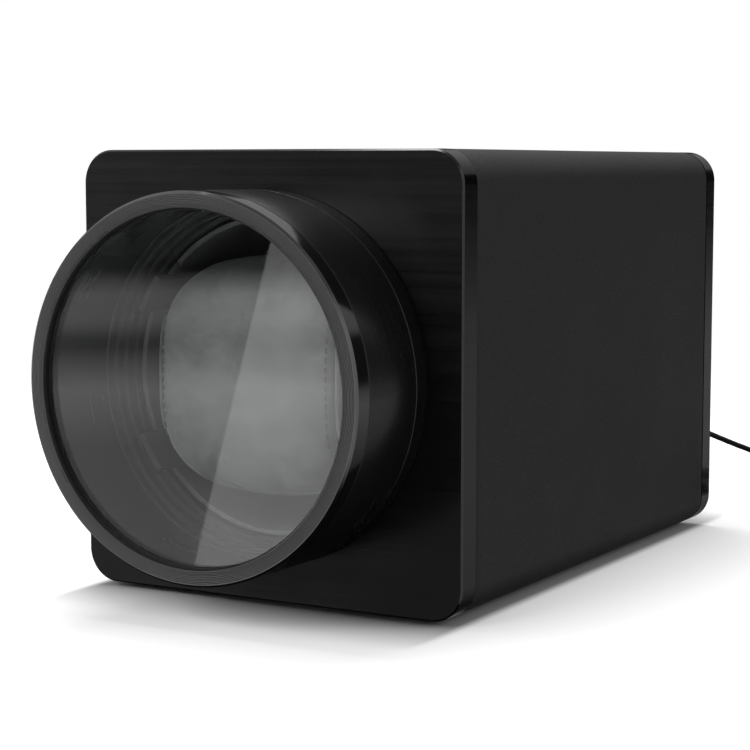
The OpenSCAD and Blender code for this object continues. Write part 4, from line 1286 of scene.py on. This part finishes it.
@dataclass
class Lead:
    """The lead from the rear socket, its coil, its tie and its far end.

    Its route, coil and tie are in millimetres.
    """

    diameter: float = 2.0 * MM
    length: float = 1.0
    route: tuple[Triple, ...] = (
        (36, 135.6, 27.5), (36, 140, 27.5), (36, 148, 26.8), (36, 158, 25), (36, 166, 23.1), (36.4, 174, 20.9),
        (37.6, 182, 18.4), (39.5, 190, 15.7), (42.3, 199, 12.6), (46, 207, 9), (50.5, 215, 4.9), (56, 222.5, 1.9),
    )
    tail: tuple[Triple, ...] = (
        (83, 209.5, 6.2), (83.3, 206.5, 5.2), (83.5, 203, 3.7), (83.8, 199, 2.7), (83.9, 195, 2.9), (83.8, 191, 3.9),
        (83.8, 187.6, 4.2),
    )
    coil_centre: Pair = (68, 212.5)
    coil_radius: float = 11.5
    coil_entry: float = 140.0
    layers: int = 4
    turns_per_layer: int = 3
    pitch: float = 2.1
    first_height: float = 1.0
    layer_height: float = 2.0
    points_per_turn: int = 24
    climb_angle: float = 60.0
    landing_angle: float = 90.0
    landing_height: float = 0.9
    landing_reach: float = 0.97
    tie_angle: float = 90.0
    tie_lift: float = 0.8
    tie_spread: float = 40.0
    tie_width: float = 5.0
    tie_thickness: float = 0.7
    tie_half: Pair = (5.0, 4.75)
    tie_middle: float = 4.85
    tie_start: float = 62.0
    tie_steps: int = 48
    tie_lap: int = 9
    tie_ramp: int = 6
    tie_slack: float = 0.05

    def coil(self) -> Iterator[Vector]:
        """Winds the turns in flat layers, inwards and outwards by turns.

        Yields:
            The points of the middle line, in millimetres.
        """
        half = self.turns_per_layer / 2 * self.pitch
        layer_angle = 360.0 * self.turns_per_layer
        total = layer_angle * self.layers + self.coil_entry
        steps = int(total / 360.0 * self.points_per_turn)
        for i in range(1, steps + 1):
            turned = total * i / steps
            layer = min(int(turned / layer_angle), self.layers - 1)
            share = min((turned - layer * layer_angle) / layer_angle, 1.0)
            offset = half * (1.0 - 2.0 * share) * (1.0 if layer % 2 == 0 else -1.0)
            if turned >= layer_angle * self.layers:
                offset = half
            climb = 0.0
            if layer < self.layers - 1:
                climb = smooth_step((turned - (layer + 1) * layer_angle + self.climb_angle) / self.climb_angle)
            landing = 1.0 - smooth_step(turned / self.landing_angle)
            away = (self.coil_entry - turned - self.tie_angle + 180.0) % 360.0 - 180.0
            height = self.first_height + self.layer_height * (layer + climb) + self.landing_height * landing
            height += self.tie_lift * bell(away, self.tie_spread) * (1.0 - landing)
            radius = self.coil_radius + offset + self.landing_reach * landing
            angle = math.radians(self.coil_entry - turned)
            x, y = self.coil_centre
            yield Vector((x + radius * math.cos(angle), y + radius * math.sin(angle), height))

    def tie(self) -> bpy.types.Mesh:
        """The soft band round the coil, with its loose end lapped over.

        Returns:
            The band's mesh.
        """
        half_wide, half_high = self.tie_half
        x, y = self.coil_centre
        path = []
        for i in range(self.tie_steps + self.tie_lap + 1):
            turn = 2.0 * math.pi * i / self.tie_steps + math.radians(self.tie_start)
            lapped = smooth_step((i - self.tie_steps + self.tie_ramp) / self.tie_ramp)
            over = (self.tie_thickness + self.tie_slack) * lapped
            c, s = math.cos(turn), math.sin(turn)
            square = 1.0 / squarish(c, s, 3.0)
            out = (half_wide * square + over) * c
            up = (half_high * square - self.tie_thickness / 2 + over) * s
            path.append(Vector((x, y + self.coil_radius + out, self.tie_middle + up)) * MM)
        profile = [(u * MM, v * MM) for u, v in pill(self.tie_width / 2, self.tie_thickness / 2)]
        return sweep("lead_band", path, [ALONG_X] * len(path), profile)

    def build(self) -> None:
        """Lays the lead, with its far end's pieces."""
        start = curve_through([Vector(p) for p in self.route], 3)
        coil = list(self.coil())
        end = curve_through([coil[-1]] + [Vector(p) for p in self.tail], 3)[1:]
        line = [p * MM for p in start + coil + end]
        log.info("lead measures %.3f m", sum((b - a).length for a, b in zip(line, line[1:])))
        lead = add_piece("lead_run", tube("lead_run", line, self.diameter / 2), Carrier.HOUSING, SLEEVE)
        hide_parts("lead", "lead_coil", "lead_tail")
        band = add_piece("lead_band", self.tie(), Carrier.HOUSING, WEBBING)
        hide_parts("lead_tie")
        grip = add_piece("plug_grip", PlugGrip().mesh(), Carrier.HOUSING, SLEEVE)
        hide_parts("usb_grip")
        tuple(line[0])


# ---- coverings ----


@dataclass
class Wrap:
    """The leatherette round the board walls, turned in at its ends and lapped underneath."""

    corner: float = 9.3 * MM
    thickness: float = 1.0 * MM
    turn_in: float = 0.8 * MM
    lap_facing: float = -0.9
    lap_at: float = -4.0 * MM
    lap_height: float = 0.35 * MM
    lap_fade: float = 24.0 * MM
    slackness: float = 0.07 * MM
    waves: Triple = (38.0, 30.0, 38.0)
    step: float = 3.0 * MM

    def sunk(self, x: float, y: float, z: float, out_z: float) -> float:
        """How far a point of the skin lies under the solid's face.

        Args:
            x: The point's X.
            y: The point's Y.
            z: The point's Z.
            out_z: The upward part of the direction it faces.

        Returns:
            The distance in metres.
        """
        wave = 0.5 + 0.5 * noise.noise(Vector([at * rate for at, rate in zip((x, y, z), self.waves)]))
        lap = 0.0
        if out_z < self.lap_facing and x < self.lap_at:
            lap = self.lap_height * (1.0 - smooth_step((self.lap_at - x) / self.lap_fade))
        return self.slackness * wave + lap

    def skin(self) -> bpy.types.Mesh:
        """Builds the skin as a sleeve with an outside and an inside.

        Returns:
            The skin's mesh.
        """
        low, high = corners("body_wrap")
        half_width, half_height = (high.x - low.x) / 2, (high.z - low.z) / 2
        middle_z = (high.z + low.z) / 2
        outline = rounded_outline(half_width, half_height, self.corner, self.step)
        length = high.y - low.y
        parts = round(length / self.step)
        bend = [math.radians(90.0 * k / 5) for k in reversed(range(5))]
        front = [(low.y + self.turn_in * (1.0 - math.sin(t)), self.turn_in * (1.0 - math.cos(t))) for t in bend]
        flat = [(low.y + self.turn_in + (length - 2.0 * self.turn_in) * k / parts, 0.0) for k in range(parts + 1)]
        rear = [(low.y + high.y - y, inset) for y, inset in reversed(front[:-1])]
        rings = []
        for y, inset in front[:-1] + flat + rear + [(high.y, None), (low.y, None)]:
            ring = []
            for x, z, out_x, out_z in outline:
                under = self.thickness
                if inset is not None:
                    under = self.sunk(x, y, z, out_z) * (1.0 - inset / self.turn_in) + inset
                ring.append(Vector((x - out_x * under, y, middle_z + z - out_z * under)))
            rings.append(ring)
        return mesh_of_rings("wrap_skin", rings, True)

    def build(self) -> None:
        """Wraps the housing."""
        skin = add_piece("wrap_skin", self.skin(), Carrier.HOUSING, LEATHERETTE)
        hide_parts("body_wrap")


@dataclass
class Cushion:
    """The stuffed suede cushion, with an end panel sewn in at each side."""

    arch: float = 4.0 * MM
    corner: float = 20.0 * MM
    edge: float = 9.0 * MM
    squareness: float = 3.6
    slack: float = 0.9 * MM
    seam_inset: float = 1.7 * MM
    panel_rings: tuple[float, ...] = (0.96, 0.85, 0.7, 0.5, 0.3, 0.12)
    panel_crown: float = 0.4
    work_scale: float = 5.0
    voxel: float = 6.0 * MM
    pressure: float = 4.0
    swell: float = 1.1 * MM
    frames: int = 20
    groove: float = 0.45 * MM
    seam_width: float = 1.1 * MM
    rim: float = 0.86
    rim_fade: float = 0.1
    pucker: float = 0.22 * MM
    pucker_width: float = 4.0 * MM
    pucker_rate: float = 9.0
    unevenness: float = 0.12 * MM
    lie_rate: float = 75.0
    piping: float = 0.6 * MM
    piping_sides: int = 10
    piping_share: float = 0.995
    piping_steps: int = 180
    stitches: int = 64
    stitch_gap: float = 2.2 * MM
    thread: Pair = (0.22 * MM, 0.16 * MM)
    thread_lift: Pair = (-0.1 * MM, 0.25 * MM)

    def __post_init__(self) -> None:
        """Reads the space that the cushion fills."""
        low, high = corners("pillow")
        self.middle = (low + high) / 2
        self.half_width, self.half_depth, self.half_height = (high - low) / 2
        self.seam_x = self.half_width - self.seam_inset

    def reach(self, x: float) -> Pair:
        """Half of the cushion's depth and height at a distance from its middle.

        Args:
            x: The distance along the cushion's width.

        Returns:
            The half depth and the half height.
        """
        def rounded(half: float, radius: float) -> float:
            """How far a side reaches where its corner is rounded."""
            past = min(max(abs(x) - (self.half_width - radius), 0.0), radius)
            return half - radius + math.sqrt(radius ** 2 - past ** 2)

        arched = self.half_height - self.arch * (x / self.half_width) ** 2
        height = min(rounded(self.half_height, self.corner), arched)
        return rounded(self.half_depth, self.edge) - self.slack, height - self.slack

    def loop(self, x: float, share: float = 1.0, count: int = 96) -> list[Vector]:
        """A loop round the cushion.

        Args:
            x: Its distance from the middle, along the width.
            share: Its size, as a share of the outline there.
            count: How many points it has.

        Returns:
            The points, in the row frame.
        """
        depth, height = self.reach(min(abs(x), self.seam_x))
        points = []
        for turn in turns(count):
            c, s = math.cos(turn), math.sin(turn)
            r = share / squarish(c, s, self.squareness)
            points.append(self.middle + Vector((x, depth * r * c, height * r * s)))
        return points

    def blank(self) -> bpy.types.Mesh:
        """The sewn cover before it is stuffed, with flat end panels.

        Returns:
            The closed mesh.
        """
        side = [self.seam_x * k / 20 for k in range(-20, 21)]
        crown = self.slack * self.panel_crown
        end = [(self.seam_x + crown * (1.0 - share), share) for share in self.panel_rings]
        rings = [self.loop(-x, share) for x, share in reversed(end)]
        rings += [self.loop(x) for x in side]
        rings += [self.loop(x, share) for x, share in end]
        return mesh_of_rings("cushion_blank", rings, False)

    def sewn(self, point: Vector) -> float:
        """How near a point is to a seam, from 0 to 1.

        Args:
            point: The point, in the row frame.

        Returns:
            1 on the seam, and 0 away from it.
        """
        local = point - self.middle
        depth, height = self.reach(self.seam_x)
        size = squarish(local.y / depth, local.z / height, self.squareness)
        return bell(abs(local.x) - self.seam_x, self.seam_width) * smooth_step((size - self.rim) / self.rim_fade)

    def stuffed(self) -> bpy.types.Mesh:
        """Swells the cover by cloth simulation, held at its seams.

        Returns:
            The swollen mesh, in the row frame.
        """
        mesh = self.blank()
        mesh.transform(Matrix.Scale(self.work_scale, 4) @ Matrix.Translation(-self.middle))
        work = placed("cushion_work", mesh)
        remesh = work.modifiers.new("even", "REMESH")
        remesh.mode = "VOXEL"
        remesh.voxel_size = self.voxel
        self.keep(work)
        before = [v.co.copy() for v in work.data.vertices]
        pins = work.vertex_groups.new(name="seam")
        for vertex in work.data.vertices:
            pins.add([vertex.index], self.sewn(vertex.co / self.work_scale + self.middle), "REPLACE")
        cloth = work.modifiers.new("stuffing", "CLOTH").settings
        cloth.quality = 6
        cloth.mass = 0.2
        cloth.tension_stiffness = cloth.compression_stiffness = 12.0
        cloth.bending_stiffness = 0.4
        cloth.use_pressure = True
        cloth.uniform_pressure_force = self.pressure
        cloth.effector_weights.gravity = 0.0
        cloth.vertex_group_mass = "seam"
        for number in range(1, self.frames + 1):
            bpy.context.scene.frame_set(number)
        self.keep(work)
        bpy.context.scene.frame_set(1)
        cap = self.swell * self.work_scale
        for vertex, start in zip(work.data.vertices, before):
            moved = vertex.co - start
            if moved.length > cap:
                vertex.co = start + moved * (cap / moved.length)
        work.modifiers.new("smooth", "SUBSURF").levels = 1
        self.keep(work)
        swollen = work.data
        bpy.data.objects.remove(work)
        swollen.transform(Matrix.Translation(self.middle) @ Matrix.Scale(1.0 / self.work_scale, 4))
        return swollen

    @staticmethod
    def keep(piece: bpy.types.Object) -> None:
        """Applies a piece's modifiers to its mesh."""
        result = bpy.data.meshes.new_from_object(piece.evaluated_get(bpy.context.evaluated_depsgraph_get()))
        piece.modifiers.clear()
        piece.data = result

    def tailored(self, mesh: bpy.types.Mesh) -> None:
        """Draws the seams in, with puckers beside them.

        Args:
            mesh: The stuffed mesh, changed in place.
        """
        mesh.update()
        moves = []
        for vertex in mesh.vertices:
            local = vertex.co - self.middle
            turn = math.atan2(local.z, local.y)
            near = bell(abs(local.x) - self.seam_x, self.pucker_width)
            ruck = noise.noise(Vector((math.copysign(7.0, local.x), turn * self.pucker_rate, 0.0)))
            lie = noise.noise(vertex.co * self.lie_rate)
            drawn = self.groove * self.sewn(vertex.co)
            moves.append(vertex.normal * (-drawn + self.pucker * near * ruck + self.unevenness * lie))
        for vertex, move in zip(mesh.vertices, moves):
            vertex.co += move
        mesh.polygons.foreach_set("use_smooth", [True] * len(mesh.polygons))

    def trimming(self) -> tuple[bpy.types.Mesh, bpy.types.Mesh]:
        """The piping on both seams and the stitches beside it.

        Returns:
            The piping's mesh and the stitches' mesh.
        """
        cords, threads = [], []
        round_cord = [(self.piping * math.cos(t), self.piping * math.sin(t)) for t in turns(self.piping_sides)]
        thread = pill(*self.thread, 3)
        sunk, raised = self.thread_lift
        per_stitch = 6
        for side in (-1, 1):
            seam = self.loop(side * self.seam_x, self.piping_share, self.piping_steps)
            cords.append(sweep("piping", seam, [ALONG_X] * len(seam), round_cord, True))
            row = self.loop(side * (self.seam_x - self.stitch_gap), 1.0, self.stitches * per_stitch)
            for k in range(self.stitches):
                run = row[k * per_stitch:k * per_stitch + 4]
                path = []
                for point, lift in zip(run, (sunk, raised, raised, sunk)):
                    out = (point - self.middle) * Vector((0.0, 1.0, 1.0))
                    path.append(point + out.normalized() * lift)
                threads.append(sweep("stitch", path, [ALONG_X] * len(path), thread))
        return joined("cushion_piping", cords), joined("cushion_stitches", threads)

    def build(self) -> None:
        """Stuffs and trims the cushion."""
        mesh = self.stuffed()
        self.tailored(mesh)
        mesh.name = "cushion"
        mesh.materials.clear()
        cushion = add_piece("cushion", mesh, Carrier.CUSHION, SUEDE)
        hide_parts("pillow")
        piping, stitches = self.trimming()
        add_piece("cushion_piping", piping, Carrier.CUSHION, SUEDE_TRIM)
        add_piece("cushion_stitches", stitches, Carrier.CUSHION, THREAD)


# ---- markings ----


@dataclass
class Markings:
    """The painted marks for the programme knob and the direction switch."""

    thickness: float = 0.05 * MM
    positions: int = 5
    travel: float = 240.0
    gap: float = 2.6 * MM
    tick: float = 2.2 * MM
    stroke: float = 0.35 * MM
    dot: float = 0.28 * MM
    dot_gap: float = 1.6 * MM
    dot_pitch: float = 1.5 * MM
    arrow_at: float = 10.5 * MM
    arrow_radius: float = 2.4 * MM
    arrow_stroke: float = 0.28 * MM
    barb: Pair = (1.3 * MM, 1.1 * MM)
    barb_start: float = 0.2 * MM
    stop_at: float = 7.0 * MM
    pointer_stroke: float = 0.45 * MM
    pointer_inset: float = 1.8 * MM
    pointer_depth: float = 0.5 * MM

    def line(self, points: Sequence[Vector], half_width: float, face: float) -> bpy.types.Mesh:
        """A painted line on a face that looks to the rear.

        Args:
            points: Its middle line, as X and Z.
            half_width: Half of its width.
            face: The Y that it is painted on.

        Returns:
            Its mesh.
        """
        half = self.thickness / 2
        path = [Vector((p[0], face + half, p[1])) for p in points]
        last = len(path) - 1
        across = []
        for i in range(len(path)):
            along = (path[min(i + 1, last)] - path[max(i - 1, 0)]).normalized()
            across.append(Vector((0.0, 1.0, 0.0)).cross(along))
        profile = [(half_width, -half), (half_width, half), (-half_width, half), (-half_width, -half)]
        return sweep("mark", path, across, profile)

    def arc(self, centre: Vector, radius: float, first: float, last: float, steps: int = 16) -> list[Vector]:
        """Points on an arc, with angles in degrees from +Z towards +X."""
        angles = [math.radians(first + (last - first) * k / steps) for k in range(steps + 1)]
        return [centre + Vector((math.sin(t), math.cos(t))) * radius for t in angles]

    def spot(self, centre: Vector, radius: float, face: float, steps: int) -> bpy.types.Mesh:
        """A round spot of paint, as wide as four times its radius."""
        return self.line(self.arc(centre, radius, 0.0, 360.0, steps), radius, face)

    @staticmethod
    def seat(node: str) -> tuple[Vector, float]:
        """A control's middle, as X and Z, and half of its width."""
        low, high = corners(node)
        return Vector(((low.x + high.x) / 2, (low.z + high.z) / 2)), (high.x - low.x) / 2

    def dial(self, face: float) -> list[bpy.types.Mesh]:
        """The ticks round the knob, with a dot for each further programme.

        Args:
            face: The Y of the rear plate's outside.

        Returns:
            The meshes.
        """
        centre, radius = self.seat("programme_knob")
        radius += self.gap
        marks = []
        for i in range(self.positions):
            turn = math.radians(-self.travel * i / (self.positions - 1))
            out = Vector((math.sin(turn), math.cos(turn)))
            side = Vector((out.y, -out.x))
            marks.append(self.line([centre + out * radius, centre + out * (radius + self.tick)], self.stroke, face))
            for k in range(i):
                shift = side * (k - (i - 1) / 2) * self.dot_pitch
                at = centre + out * (radius + self.tick + self.dot_gap) + shift
                marks.append(self.spot(at, self.dot, face, 12))
        return marks

    def ways(self, face: float) -> list[bpy.types.Mesh]:
        """The arrows for the two directions and the stop between them.

        Args:
            face: The Y of the rear plate's outside.

        Returns:
            The meshes.
        """
        middle, _ = self.seat("direction_slider")
        back, aside = self.barb
        marks = []
        for side in (-1.0, 1.0):
            centre = middle + Vector((side * self.arrow_at, 0.0))
            arc = self.arc(centre, self.arrow_radius, -140.0 * side, 100.0 * side)
            marks.append(self.line(arc, self.arrow_stroke, face))
            along = (arc[-1] - arc[-3]).normalized()
            across = Vector((along.y, -along.x))
            tip = arc[-1] + along * self.barb_start
            for way in (-1.0, 1.0):
                end = arc[-1] - along * back + across * way * aside
                marks.append(self.line([tip, end], self.arrow_stroke, face))
        marks.append(self.spot(middle + Vector((0.0, self.stop_at)), self.stroke, face, 14))
        return marks

    def pointer(self) -> bpy.types.Mesh:
        """The paint in the knob's groove."""
        centre, radius = self.seat("programme_knob")
        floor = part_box("programme_knob")[1][1] - self.pointer_depth
        ends = [centre + Vector((0.0, at)) for at in (self.pointer_inset, radius - self.pointer_inset)]
        return self.line(ends, self.pointer_stroke, floor)

    def build(self) -> None:
        """Paints the marks."""
        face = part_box("rear_plate")[1][1]
        marks = joined("control_marks", self.dial(face) + self.ways(face))
        add_piece("control_marks", marks, Carrier.HOUSING, WHITE_PAINT)
        add_piece("knob_pointer", self.pointer(), Carrier.KNOB, WHITE_PAINT)


# ---- the whole winder ----


def dress_nodes() -> None:
    """Gives every solid that stays its finish."""
    for finish, names in NODE_FINISHES.items():
        for name in names.split():
            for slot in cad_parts[name].material_slots:
                slot.material = material(finish)
            log.info("%s is dressed in %s", name, finish.name)


def main() -> None:
    """Builds the scene in order."""
    logging.basicConfig(level=logging.INFO, format="%(message)s", stream=sys.stdout)
    Studio().build()
    dress_nodes()
    Lead().build()
    Wrap().build()
    Cushion().build()
    Markings().build()


if __name__ == "__main__":
    main()
